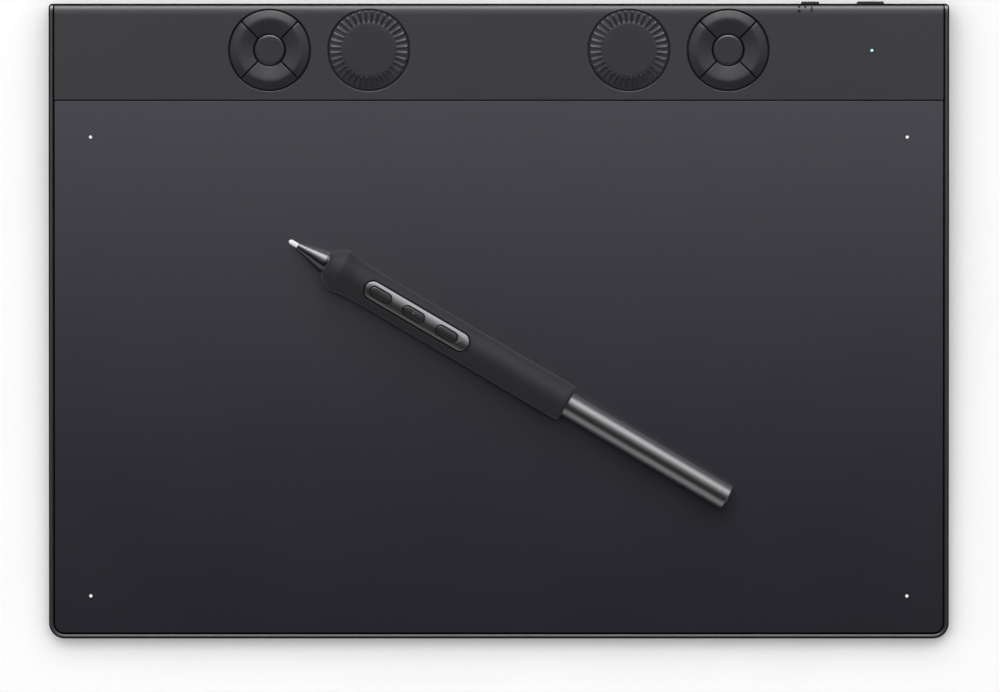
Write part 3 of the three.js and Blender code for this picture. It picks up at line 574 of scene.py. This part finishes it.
def inner_outline(extra, rear):
    """The tray's opening, taken in by extra; its front wall is a little thinner than its sides."""
    side, front = RAIL_INSIDE + extra - HALF_WIDTH, RIM_INSIDE + extra - HALF_DEPTH
    return rounded(side, -side, front, rear, FRONT_CORNER - RAIL_INSIDE - min(extra, 1), 0)


def flared_opening():
    """The tool for the tray's opening, whose top widens over the rounded inner edge of the rim."""
    rear = HALF_DEPTH - SHOULDER_WIDTH
    rings = [[(x, y, -LEDGE_DEPTH) for x, y in inner_outline(0, rear)]]
    for k in range(BEVEL_STEPS + 1):
        a = math.pi / 2 * k / BEVEL_STEPS
        grow = INNER_ROUND * (1 - math.cos(a))
        z = INNER_ROUND * (math.sin(a) - 1)
        rings.append([(x, y, z) for x, y in inner_outline(-grow, rear)])
    rings.append([(x, y, HIGH) for x, y, z in rings[-1]])
    return loft("tool", rings)


def above_shoulder(rear):
    """A tool for what is above the shoulder and under the deck, up to the roll of the rear edge."""
    over_deck, over_shoulder, over_roll = 0.002, 0.02, 0.1
    roll = rolled_profile(-2 * HALF_DEPTH, rear, over_deck, SHOULDER_DROP - over_shoulder, ROLL_DEPTH,
                          SHOULDER_DROP - over_roll)
    return turned_by(prism_along_x("tool", roll, -FAR, FAR), TILT)


def make_tray():
    """The cast tray as its two tones: a black lower shell and the satin rim that stands on it."""
    shell = tray_form()
    rear, edge = HALF_DEPTH - SHOULDER_WIDTH, HALF_WIDTH - RAIL
    lower = prism("tool", inner_outline(LEDGE, HALF_DEPTH - UNDER_BEVEL - 1), FLOOR_TOP, HIGH)
    mouth = block(-edge, edge, STRIP_FRONT, rear, REAR_LIP_TOP, HIGH)
    carve(shell, turned_by(flared_opening(), TILT), lower, mouth)
    rim = shell.copy()
    rim.data = shell.data.copy()
    rim.name = "tray_rim"
    bpy.context.scene.collection.objects.link(rim)
    carve(rim, above_shoulder(rear), operation="INTERSECT")
    carve(shell, turned_by(block(-FAR, FAR, -FAR, FAR, -SHOULDER_DROP, HIGH), TILT))
    carve(shell, *(turned_by(tool, TILT) for tool in rear_openings()))
    play, deeper = 0.4, 0.05
    length, width, height = FOOT_SIZE
    for x, y in FEET.values():
        carve(shell, prism("tool", stadium(length + play, width + play, x, y), -1, height + deeper))
    well_radius, well_top = 1.7, 1.2
    for x, y in SCREWS.values():
        carve(shell, pin(x, y, well_radius, -1, well_top, SMALL_ROUND_STEPS))
    bevel(shell, EDGE_BREAK, 2, 50)
    bevel(rim, EDGE_BREAK, 2, 50)
    place(shell, TABLET, MATERIALS["case_shell"], "case_coat", "tablet", "bottom_case")
    place(rim, TABLET, MATERIALS["case_coat"], "case_coat", "tablet")


def make_feet():
    """Four long rubber pads."""
    length, width, height = FOOT_SIZE
    for name, (x, y) in FEET.items():
        foot = prism(f"foot_pad_{name}", stadium(length, width, x, y), 0, height)
        bevel(foot, 0.18)
        place(foot, TABLET, MATERIALS["foot_rubber"], "foot_rubber", "tablet", f"foot_{name}")


def make_screws():
    """Pan heads with a cross recess, in their wells under the case."""
    low, high, radius, dome = 0.72, 1.15, 1.5, 0.3
    slot_length, slot_width, slot_turn = 1.7, 0.4, 0.4
    profile = [(0, low), (1.0, low), (1.35, low + 0.12), (radius, low + dome), (radius, high), (0, high)]
    for name, (x, y) in SCREWS.items():
        head = turned(f"screw_head_{name}", profile, SMALL_ROUND_STEPS)
        for turn in (0, math.pi / 2):
            slot = prism("tool", stadium(slot_length, slot_width), 0, low + dome)
            carve(head, turned_by(slot, Matrix.Rotation(turn + slot_turn, 4, "Z")))
        bevel(head, 0.04, 2)
        moved(head, (x, y, 0))
        place(head, TABLET, MATERIALS["steel"], "steel", "tablet", f"screw_{name}")


def make_sheet():
    """The drawing sheet, set in by a dark seam all round."""
    inset = RAIL + SHEET_SEAM
    edge = HALF_WIDTH - inset
    outline = rounded(-edge, edge, inset - HALF_DEPTH, STRIP_FRONT - SHEET_SEAM, FRONT_CORNER - inset, 0.3)
    sheet = bevel(prism("sheet", outline, -SHEET_THICK, 0), 0.05, 2)
    place(sheet, DECK, MATERIALS["drawing_film"], "drawing_film", "tablet", "drawing_sheet")


def roll_height(y):
    """Height of the strip's surface at y, which falls over the rear roll."""
    share = max(0, y - (HALF_DEPTH - SHOULDER_WIDTH - ROLL_DEPTH)) / ROLL_DEPTH
    return ROLL_DROP * ((1 - share ** (2 / ROLL_POWER)) ** (ROLL_POWER / 2) - 1)


def printed(name, x, y, width, length, material, slot):
    """A thin print with round ends, length along Y, that follows the surface under it."""
    proud, sunk, radius, rows = 0.012, 0.05, width / 2, 12
    rings = []
    for k in range(rows + 1):
        turn = math.pi * (k / rows - 0.5)
        half = max(radius * math.cos(turn), 0.02)
        along = y + (length / 2 - radius) * (2 * k / rows - 1) + radius * math.sin(turn)
        under, over = roll_height(along) - sunk, roll_height(along) + proud
        rings.append([(x - half, along, under), (x + half, along, under), (x + half, along, over),
                      (x - half, along, over)])
    place(loft(name, rings), DECK, material, slot, "tablet")


def make_marks():
    """The four printed dots that mark the working area, and generic dots and a bar beside the link switch."""
    for i, y in enumerate(MARK_ROWS):
        for side, x in (("left", -MARK_X), ("right", MARK_X)):
            printed(f"area_mark_{side}_{i + 1}", x, y, 1, 1, PRINT, "drawing_film")
    rear, front = 101.5, 100.2
    left_x, middle_x, bar_x = 97, 98.95, 101
    small, large = 0.7, 1
    dots = ((left_x, rear, small), (left_x, front, large), (middle_x, rear, small))
    for i, (x, y, size) in enumerate(dots):
        printed(f"switch_dot_{i + 1}", x, y, size, size, DARK_PRINT, "strip_coat")
    bar_y, bar_width, bar_length = (rear + front) / 2 - 0.1, 0.55, 2.2
    printed("switch_bar", bar_x, bar_y, bar_width, bar_length, DARK_PRINT, "strip_coat")


# ------------------------------------------------------------ key strip

def rear_slot(x, width, height):
    """A square tool that goes through the rear wall."""
    low, high = REAR_ROW_Z - height / 2, REAR_ROW_Z + height / 2
    return block(x - width / 2, x + width / 2, HALF_DEPTH - REAR_REACH, HALF_DEPTH + 2, low, high)


def port_tool(grow, y0, y1, name="tool"):
    """The port's outline, grown all round, as a solid along Y."""
    outline = stadium(USB_SIZE[0] + 2 * grow, USB_SIZE[1] + 2 * grow, 0, REAR_ROW_Z)
    return prism_along_y(name, outline, y0, y1)


def rear_openings():
    """Tools for the holes in the rear wall: the link switch's slot, the power button's and the port's."""
    return (
        rear_slot(LINK_X - LINK_TRAVEL / 2, LINK_SIZE[0] + LINK_TRAVEL + 2 * ASIDE, LINK_SIZE[1] + 2 * ASIDE),
        rear_slot(POWER_X, POWER_SIZE[0] + 2 * ASIDE, POWER_SIZE[1] + 2 * ASIDE),
        port_tool(PORT_ASIDE, HALF_DEPTH - REAR_REACH, HALF_DEPTH + 2),
    )


def well_profile():
    """A control's round well, with a shallow chamfer at its mouth that catches the light."""
    width, depth, reach = 0.3, 0.13, 2
    mouth = WELL_RADIUS + width
    return [(0, -reach), (WELL_RADIUS, -reach), (WELL_RADIUS, -depth), (mouth, 0), (mouth, reach), (0, reach)]


def make_strip():
    """The cover over the controls: a shell that rolls over at its rear, with wells and openings in it."""
    edge = HALF_WIDTH - RAIL - SEAM
    rear = HALF_DEPTH - SHOULDER_WIDTH - 0.03
    ledge_play = 2.4
    outer = rolled_profile(STRIP_FRONT, rear, 0, COVER_SKIRT, ROLL_DEPTH, ROLL_DROP)
    inner = rolled_profile(STRIP_FRONT - 1, rear - COVER_THICK, -COVER_THICK, COVER_SKIRT + 1, 0.4, 0.4, 4)
    strip = prism_along_x("strip", outer, -edge, edge)
    carve(strip, prism_along_x("tool", inner, COVER_THICK - edge, edge - COVER_THICK))
    for side in (-1, 1):
        x0, x1 = sorted((side * (edge - ledge_play), side * (edge + ledge_play)))
        carve(strip, block(x0, x1, STRIP_FRONT - 1, rear - COVER_THICK, -9, 0.1 - LEDGE_DEPTH))
    bevel(strip, 0.13, 3, 40)
    for x in (-KEYS_X, -DIAL_X, DIAL_X, KEYS_X):
        carve(strip, moved(turned("tool", well_profile()), (x, CONTROL_ROW, 0)))
    carve(strip, *rear_openings(), pin(*LIGHT_AT, LIGHT_RADIUS + 0.36, -2, 2, SMALL_ROUND_STEPS - 16))
    bevel(strip, 0.03, 2, 50)
    place(strip, DECK, MATERIALS["strip_coat"], "strip_coat", "tablet", "key_strip_cover")


def crest(radius):
    """Height of a ring key: two slopes that meet in a soft ridge."""
    softness = 0.12
    slope = math.tan(OUTER_SLOPE if radius > CREST_RADIUS else INNER_SLOPE)
    return CREST_HEIGHT + softness - math.hypot(slope * (radius - CREST_RADIUS), softness)


def ring_key_profile():
    """A closed loop of (radius, z): up the inner wall, over the crest and down to the outer flange."""
    inner, outer, samples = CENTRE_KEY_RADIUS + KEY_GAP, CONTROL_RADIUS, 22
    top = [inner + (outer - inner) * k / samples for k in range(samples + 1)]
    flange = [(outer, FLANGE_TOP), (FLANGE_RADIUS, FLANGE_TOP), (FLANGE_RADIUS, KEY_BOTTOM)]
    return [(inner, KEY_BOTTOM)] + [(r, crest(r)) for r in top] + flange


def make_ring_key(side, x, way, turn):
    """A quarter of the ring, whose ends stand off the diagonals by a constant gap."""
    samples = 28
    profile = ring_key_profile()
    rings = []
    for k in range(samples + 1):
        share = 2 * k / samples - 1
        ring = []
        for radius, z in profile:
            a = math.pi / 2 + share * (math.pi / 4 - math.asin(KEY_GAP / 2 / radius))
            ring.append((radius * math.cos(a), radius * math.sin(a), z))
        rings.append(ring)
    key = loft(f"{side}_ring_key_{way}", rings)
    bevel(key, 0.17, 3, 40)
    turned_by(key, Matrix.Translation((x, CONTROL_ROW, 0)) @ Matrix.Rotation(turn, 4, "Z"))
    node = f"{side}_key_{way}"
    place(key, DECK, MATERIALS["key_plastic"], "key_plastic", node, node)


def make_centre_key(side, x):
    """A round key with a chamfered edge and a slightly hollow top."""
    r, top, edge = CENTRE_KEY_RADIUS, CENTRE_KEY_HEIGHT, 0.36
    profile = [(0, KEY_BOTTOM), (r, KEY_BOTTOM), (r, top - 0.24), (r - 0.05, top - 0.19),
               (r - edge, top - 0.02), (r - edge - 0.08, top), (r - 1.2, top - 0.01), (0, top - 0.08)]
    key = moved(turned(f"{side}_middle_key", profile), (x, CONTROL_ROW, 0))
    node = f"{side}_key_centre"
    place(key, DECK, MATERIALS["key_plastic"], "key_plastic", node, node)


def smooth_step(low, high, value):
    """Goes smoothly from 0 to 1 as value goes from low to high."""
    share = min(max((value - low) / (high - low), 0), 1)
    return share * share * (3 - 2 * share)


def dial_height(radius, angle):
    """The dial's surface: a flat disc in a conical band, with narrow round ribs that widen outwards."""
    flat, outer = DIAL_FLAT_RADIUS, CONTROL_RADIUS
    band = DIAL_FLAT_HEIGHT - 0.42 * smooth_step(flat - 0.3, outer + 2, radius) * (outer - flat) / 4
    band -= RIB_SINK * smooth_step(flat - 0.6, flat + 0.9, radius)
    pitch = 2 * math.pi / RIB_COUNT
    across = abs((angle / pitch) % 1 - 0.5) * pitch * radius
    half = 0.32 + 0.045 * (radius - flat)
    rib = math.cos(min(across / half, 1) * math.pi / 2) ** 1.2
    ends = smooth_step(flat, flat + 0.28, radius) * (1 - smooth_step(outer - 0.35, outer, radius))
    return band + RIB_HEIGHT * rib * ends


def make_dial(side, x):
    """A ribbed dial, with its rings closest together where the ribs start and end."""
    columns = RIB_COUNT * 12
    starts = (-1.5, -0.9, -0.5, -0.2, 0, 0.1, 0.2, 0.3, 0.45)
    radii = [0, DIAL_FLAT_RADIUS - 4.9] + [DIAL_FLAT_RADIUS + start for start in starts]
    radii += [DIAL_FLAT_RADIUS + 0.8 + 0.35 * k for k in range(9)]
    radii += [CONTROL_RADIUS - 0.14, CONTROL_RADIUS - 0.06, CONTROL_RADIUS]
    turns = [2 * math.pi * k / columns for k in range(columns)]
    rings = [[(r * math.cos(a), r * math.sin(a), dial_height(r, a)) for a in turns] for r in radii]
    skirt = [(CONTROL_RADIUS, FLANGE_TOP), (FLANGE_RADIUS, FLANGE_TOP), (FLANGE_RADIUS, KEY_BOTTOM)]
    for radius, z in skirt + [(0, KEY_BOTTOM)]:
        rings.append([(radius * math.cos(a), radius * math.sin(a), z) for a in turns])
    dial = moved(loft(f"{side}_ribbed_dial", rings, capped=False), (x, CONTROL_ROW, 0))
    node = f"{side}_dial"
    place(dial, DECK, MATERIALS["key_plastic"], "key_plastic", node, node, angle=50)


def make_controls():
    """On each side of the strip, four ring keys round a centre key, and a dial."""
    turns = {"rear": 0, "left": math.pi / 2, "front": math.pi, "right": -math.pi / 2}
    for side, sign in (("left", -1), ("right", 1)):
        for way, turn in turns.items():
            make_ring_key(side, sign * KEYS_X, way, turn)
        make_centre_key(side, sign * KEYS_X)
        make_dial(side, sign * DIAL_X)


def make_status_light():
    """The light pipe's round end, in its dark hole."""
    radius, bottom = LIGHT_RADIUS, -3
    profile = [(0, bottom), (radius, bottom), (radius, -0.05), (radius - 0.08, 0.02), (0, 0.05)]
    pipe = moved(turned("status_light", profile, SMALL_ROUND_STEPS - 16), (*LIGHT_AT, 0))
    place(pipe, DECK, MATERIALS["light_pipe"], "light_pipe", "tablet", "status_light_pipe")


# ------------------------------------------------------------ rear edge

def rear_control(name, width, height):
    """A button with slanted ends whose face stands out of the rear wall."""
    inner, rear, taper = HALF_DEPTH - 2.2, HALF_DEPTH + REAR_STANDOUT, 0.4
    half = width / 2
    outline = [(-half, inner), (half, inner), (half, rear - taper),
               (half - taper, rear), (taper - half, rear), (-half, rear - taper)]
    return prism(name, outline, REAR_ROW_Z - height / 2, REAR_ROW_Z + height / 2)


def make_rear_controls():
    """The smooth power button and the link switch's knob, which has grooves for the fingernail."""
    plastic = MATERIALS["key_plastic"]
    power = moved(bevel(rear_control("power_key", *POWER_SIZE), 0.2), (POWER_X, 0, 0))
    place(power, DECK, plastic, "key_plastic", "power_button", "power_button")
    knob = rear_control("link_knob", *LINK_SIZE)
    grooves, groove_radius = 5, 0.3
    for i in range(grooves):
        x = LINK_SIZE[0] * ((i + 1) / (grooves + 1) - 0.5)
        carve(knob, pin(x, HALF_DEPTH + REAR_STANDOUT + 0.1, groove_radius, -9, 2, SMALL_ROUND_STEPS // 2))
    bevel(knob, EDGE_BREAK, 2, 50)
    moved(knob, (LINK_X, 0, 0))
    place(knob, DECK, plastic, "key_plastic", "link_switch_knob", "link_switch_knob")


def make_port():
    """The USB-C socket: a drawn shell, a tongue inside it, and contacts on the tongue's faces."""
    mouth = HALF_DEPTH - 0.1
    back = mouth - USB_SIZE[2]
    shell = port_tool(0, back, mouth, "usb_shell")
    sheet_thick = 0.3
    carve(shell, port_tool(-sheet_thick, back + 1, mouth + 1))
    bevel(shell, EDGE_BREAK, 2)
    place(shell, DECK, MATERIALS["steel"], "steel", "tablet", "usb_c_socket")
    half_wide, half_thick = 3.3, 0.35
    under, over = REAR_ROW_Z - half_thick, REAR_ROW_Z + half_thick
    tongue = block(-half_wide, half_wide, back + 0.5, mouth - 0.9, under, over)
    tongue.name = "usb_tongue"
    bevel(tongue, 0.1, 2)
    place(tongue, DECK, MATERIALS["inner_plastic"], "inner_plastic", "tablet")
    pitch, contacts, half, proud = 0.5, 12, 0.13, 0.02
    for face, z in (("top", over), ("under", under)):
        for i in range(contacts):
            x = pitch * (i - (contacts - 1) / 2)
            contact = block(x - half, x + half, mouth - 4.5, mouth - 1.2, z - proud, z + proud)
            contact.name = f"usb_contact_{face}_{i + 1}"
            place(contact, DECK, GOLD, "steel", "tablet")


# ------------------------------------------------------------ pen

def upright(x0, x1, width):
    """A slot-shaped tool that stands on the pen's axis and goes out through its side."""
    top = 12
    return prism("tool", stadium(x1 - x0, width, (x0 + x1) / 2, 0), 0, top)


def curve_through(points):
    """A smooth line through the points, as a Catmull-Rom spline."""
    steps = 6
    ends = [points[0]] + list(points) + [points[-1]]
    made = []
    for p0, p1, p2, p3 in zip(ends, ends[1:], ends[2:], ends[3:]):
        for k in range(steps):
            t = k / steps
            made.append(tuple(
                0.5 * (2 * b + (c - a) * t + (2 * a - 5 * b + 4 * c - d) * t * t
                       + (3 * b - a - 3 * c + d) * t ** 3)
                for a, b, c, d in zip(p0, p1, p2, p3)
            ))
    return made + [points[-1]]


def make_nib():
    """The nib, worn to a round tip."""
    radius, inside = NIB_RADIUS - 0.02, NIB_SHOWN + 1.4
    tip = [(0.15, 0), (0.18, 0.2), (0.27, 0.4), (0.44, 0.59), (0.68, 0.74), (1, radius)]
    nib = turned_along_x("nib", tip + [(inside, radius), (inside, 0)], SMALL_ROUND_STEPS)
    place(nib, PEN, MATERIALS["nib_plastic"], "nib_plastic", "pen_nib", "pen_nib")


def make_cone():
    """The hollow nose cone, with a small bead at its base."""
    bore, tip, base = NIB_RADIUS + 0.12, *CONE_RADII
    profile = [
        (NIB_SHOWN, bore), (NIB_SHOWN, tip - 0.1), (NIB_SHOWN + 0.1, tip), (CONE_END - 0.6, base - 0.16),
        (CONE_END - 0.35, base - 0.02), (CONE_END - 0.1, base - 0.02), (CONE_END, base - 0.12),
        (CONE_END, base - 0.4), (CONE_END + 1.2, base - 0.4), (CONE_END + 1.2, bore), (NIB_SHOWN, bore),
    ]
    cone = turned_along_x("nose_cone", profile)
    place(cone, PEN, MATERIALS["pen_cone_metal"], "pen_cone_metal", "pen", "pen_nose_cone", angle=14)


def make_grip():
    """The soft sleeve, with its flare ahead of the fingers and the window for the buttons' plate."""
    flare = FLARE_RADIUS
    nose = [(GRIP_START, 3.6), (GRIP_START, 4.05), (GRIP_START + 0.12, 4.3)]
    ridge = curve_through([
        (GRIP_START + 0.12, 4.3), (15, 5.05), (15.8, 5.75), (17, 6.45), (18.3, 7.02),
        (FLARE_AT - 0.3, flare - 0.01), (FLARE_AT + 0.4, flare - 0.06),
        (20.8, 7.02), (22.6, 6.66), (25, 6.38), (29, 6.22), (36, 6.16), (60, 6.16), (90, 6.2),
        (GRIP_END - 1.1, GRIP_RADIUS),
    ])
    tail = [(GRIP_END - 1.1 + math.sin(a), GRIP_RADIUS - 1 + math.cos(a))
            for a in (math.pi / 2 * k / 8 for k in range(1, 9))]
    bore = [(GRIP_END - 0.1, 4.25), (GRIP_END - 1.2, 4.25), (GRIP_END - 1.2, CORE_RADIUS + 0.1),
            (GRIP_START + 1.9, CORE_RADIUS + 0.1), (GRIP_START + 1.9, 3.6), (GRIP_START, 3.6)]
    grip = turned_along_x("grip_sleeve", nose + ridge + tail + bore, 144)
    carve(grip, upright(PLATE_SPAN[0] - PEN_ASIDE, PLATE_SPAN[1] + PEN_ASIDE, PLATE_WIDTH + 2 * PEN_ASIDE))
    bevel(grip, EDGE_BREAK, 2, 50)
    place(grip, PEN, MATERIALS["pen_grip_rubber"], "pen_grip_rubber", "pen", "pen_grip")


def cushion(name, x0, x1, width, radius, section):
    """A slot-shaped pad that follows a round shell, from a section of (inset, rise over the radius)."""
    rings = []
    for inset, rise in section:
        outline = stadium(x1 - x0 - 2 * inset, width - 2 * inset, (x0 + x1) / 2, 0)
        rings.append([(x, y, math.sqrt((radius + rise) ** 2 - y * y)) for x, y in outline])
    return loft(name, rings)


def cushion_section(depth, chamfer, width):
    """From the pad's underside up its wall, over a round chamfer and across its top."""
    turns = [math.pi / 2 * k / BEVEL_STEPS for k in range(BEVEL_STEPS + 1)]
    edge = [(chamfer * (1 - math.cos(a)), chamfer * (math.sin(a) - 1)) for a in turns]
    across = [chamfer + (width / 2 - chamfer - 0.02) * (k + 1) / 8 for k in range(8)]
    return [(0, -depth)] + edge + [(inset, 0) for inset in across]


def make_button_plate():
    """The metal plate in the grip's window, with an opening for each button."""
    section = cushion_section(1.1, 0.2, PLATE_WIDTH)
    plate = cushion("button_plate", *PLATE_SPAN, PLATE_WIDTH, GRIP_RADIUS + 0.1, section)
    length, width = PEN_BUTTON_SIZE
    for x in PEN_BUTTONS.values():
        carve(plate, upright(x - length / 2 - ASIDE, x + length / 2 + ASIDE, width + 2 * ASIDE))
    bevel(plate, 0.05, 2, 50)
    place(plate, PEN, MATERIALS["pen_metal"], "pen_metal", "pen", "pen_button_plate")


def make_pen_buttons():
    """Long keys with a round chamfer, each on a flange that closes the gap round it from inside."""
    length, width = (size - 2 * (PEN_ASIDE - ASIDE) for size in PEN_BUTTON_SIZE)
    flange = 0.7
    for name, x in PEN_BUTTONS.items():
        x0, x1 = x - length / 2, x + length / 2
        section = cushion_section(1.3, 0.3, width)
        button = cushion(f"side_button_{name}", x0, x1, width, GRIP_RADIUS + 0.35, section)
        skirt = [(0, -0.2), (0, 0), (width / 2 + flange - 0.02, 0)]
        skirt = cushion("tool", x0 - flange, x1 + flange, width + 2 * flange, CORE_RADIUS + 0.22, skirt)
        carve(button, skirt, operation="UNION")
        if name == "middle":
            dot = turned("tool", [(0, 6), (0.42, 6), (0.42, 6.7), (0.3, 6.79), (0, 6.85)], 32)
            carve(button, moved(dot, (x, 0, 0)), operation="UNION")
        node = f"pen_button_{name}"
        place(button, PEN, MATERIALS["pen_button_plastic"], "pen_button_plastic", node, node, angle=50)


def make_barrel():
    """The barrel's tube, and its tail cap with a chamfer and a shallow dish in its end."""
    metal = MATERIALS["pen_metal"]
    front, rear, r = GRIP_END - 0.9, PEN_LENGTH - TAIL_LENGTH, BARREL_RADIUS
    inner = r - BARREL_WALL
    wall = [(front, inner), (front, r), (rear, r), (rear, inner), (front, inner)]
    tube = turned_along_x("barrel_tube", wall)
    place(tube, PEN, metal, "pen_metal", "pen_barrel", "pen_barrel")
    start, edge, land, dish = rear + 0.03, 0.35, 0.9, 0.15
    tail = turned_along_x("tail_cap", [
        (start, 0), (start, r), (PEN_LENGTH - edge, r), (PEN_LENGTH, r - edge), (PEN_LENGTH, r - land),
        (PEN_LENGTH - dish, r - land - dish), (PEN_LENGTH - dish, 0),
    ])
    place(tail, PEN, metal, "pen_metal", "pen_barrel", "pen_tail_cap", angle=20)


# ------------------------------------------------------------ hidden pieces, room, camera

def dress_hidden_nodes():
    """Gives every CAD node that stays its slot's material."""
    slots = {row["node"]: row["material_slot"] for row in frame["record"]["subparts"]}
    for name, node in frame["nodes"].items():
        node.data.materials.clear()
        node.data.materials.append(MATERIALS[slots[name]])


def make_floor():
    """A pale floor, in metres like the lights and the camera."""
    size = 3.5
    floor = mesh_object("floor", [(-size, -size, 0), (size, -size, 0), (size, size, 0), (-size, size, 0)],
                        [(0, 1, 2, 3)])
    paper = Surface("pale_floor", (0.8, 0.8, 0.8), 0.8)
    paper.mottle(paper.noise(60, 4), 0.01)
    floor.data.materials.append(paper.material)


def softbox(name, place_at, target, width, height, radiance, gloss=True, spread=180):
    """A panel of even brightness, out of the camera's sight: for reflections, or for diffuse light."""
    lamp = bpy.data.lights.new(name, "AREA")
    lamp.shape = "RECTANGLE"
    lamp.size = width
    lamp.size_y = height
    lamp.spread = math.radians(spread)
    lamp.energy = radiance * math.pi * width * height
    made = bpy.data.objects.new(name, lamp)
    made.location = place_at
    made.rotation_euler = (Vector(target) - Vector(place_at)).to_track_quat("-Z", "Y").to_euler()
    made.visible_camera = False
    made.visible_glossy = gloss
    made.visible_diffuse = not gloss
    bpy.context.scene.collection.objects.link(made)


def make_lights():
    """Even light from the ceiling and the far sides; softboxes behind, above and in front give the gloss.

    Each has its place, the point it faces, its width and height, all in metres, and its radiance.
    """
    softbox("ceiling", (0, 0, 1.6), (0, 0, 0), 12, 12, 0.43, gloss=False)
    softbox("rear_glow", (0, 2.4, 1.8), (0, 0, 0), 7.2, 2.4, 2.2, gloss=False)
    softbox("left_glow", (-2.6, 0, 1.5), (0, 0, 0), 2, 5.6, 1.5, gloss=False)
    softbox("right_glow", (2.6, 0, 1.6), (0, 0, 0), 2, 5.6, 0.8, gloss=False)
    softbox("rear_softbox", (0, 0.292, 0.27), (0, -0.085, 0.03), 1.7, 0.42, 1.9, spread=77)
    softbox("high_softbox", (0, 0.2, 0.8), (0, 0, 0), 1.5, 0.35, 0.73)
    softbox("front_fill", (-0.2, -0.8, 0.35), (0, 0, 0), 1.6, 0.6, 1.15)


def make_room():
    """A pale room under a dark ceiling."""
    world = bpy.data.worlds.new("room")
    world.use_nodes = True
    nodes, links = world.node_tree.nodes, world.node_tree.links
    split = nodes.new("ShaderNodeSeparateXYZ")
    links.new(nodes.new("ShaderNodeTexCoord").outputs["Generated"], split.inputs["Vector"])
    fade = nodes.new("ShaderNodeMapRange")
    for socket, value in (("From Min", 0.04), ("From Max", 0.4), ("To Min", 0.55), ("To Max", 0.05)):
        fade.inputs[socket].default_value = value
    links.new(split.outputs["Z"], fade.inputs["Value"])
    links.new(fade.outputs["Result"], nodes["Background"].inputs["Strength"])
    nodes["Background"].inputs["Color"].default_value = (0.94, 0.96, 1, 1)
    bpy.context.scene.world = world


def make_camera():
    """Straight above, far enough back that the view is nearly parallel."""
    distance, view_width, sensor = 2.45, 0.3231, 0.036
    data = bpy.data.cameras.new("camera")
    data.sensor_width = sensor / MM
    data.lens = data.sensor_width * (distance - MIDDLE_HEIGHT * MM) / view_width
    data.clip_end = 20
    made = bpy.data.objects.new("camera", data)
    made.location = (0.36 * MM, (MIDDLE_Y - 8) * MM, distance)
    bpy.context.scene.collection.objects.link(made)
    bpy.context.scene.camera = made


make_camera()
make_lights()
make_room()
make_floor()
dress_hidden_nodes()
make_tray()
make_feet()
make_screws()
make_sheet()
make_marks()
make_strip()
make_controls()
make_status_light()
make_rear_controls()
make_port()
make_nib()
make_cone()
make_grip()
make_button_plate()
make_pen_buttons()
make_barrel()
bpy.context.scene.view_settings.view_transform = "Standard"
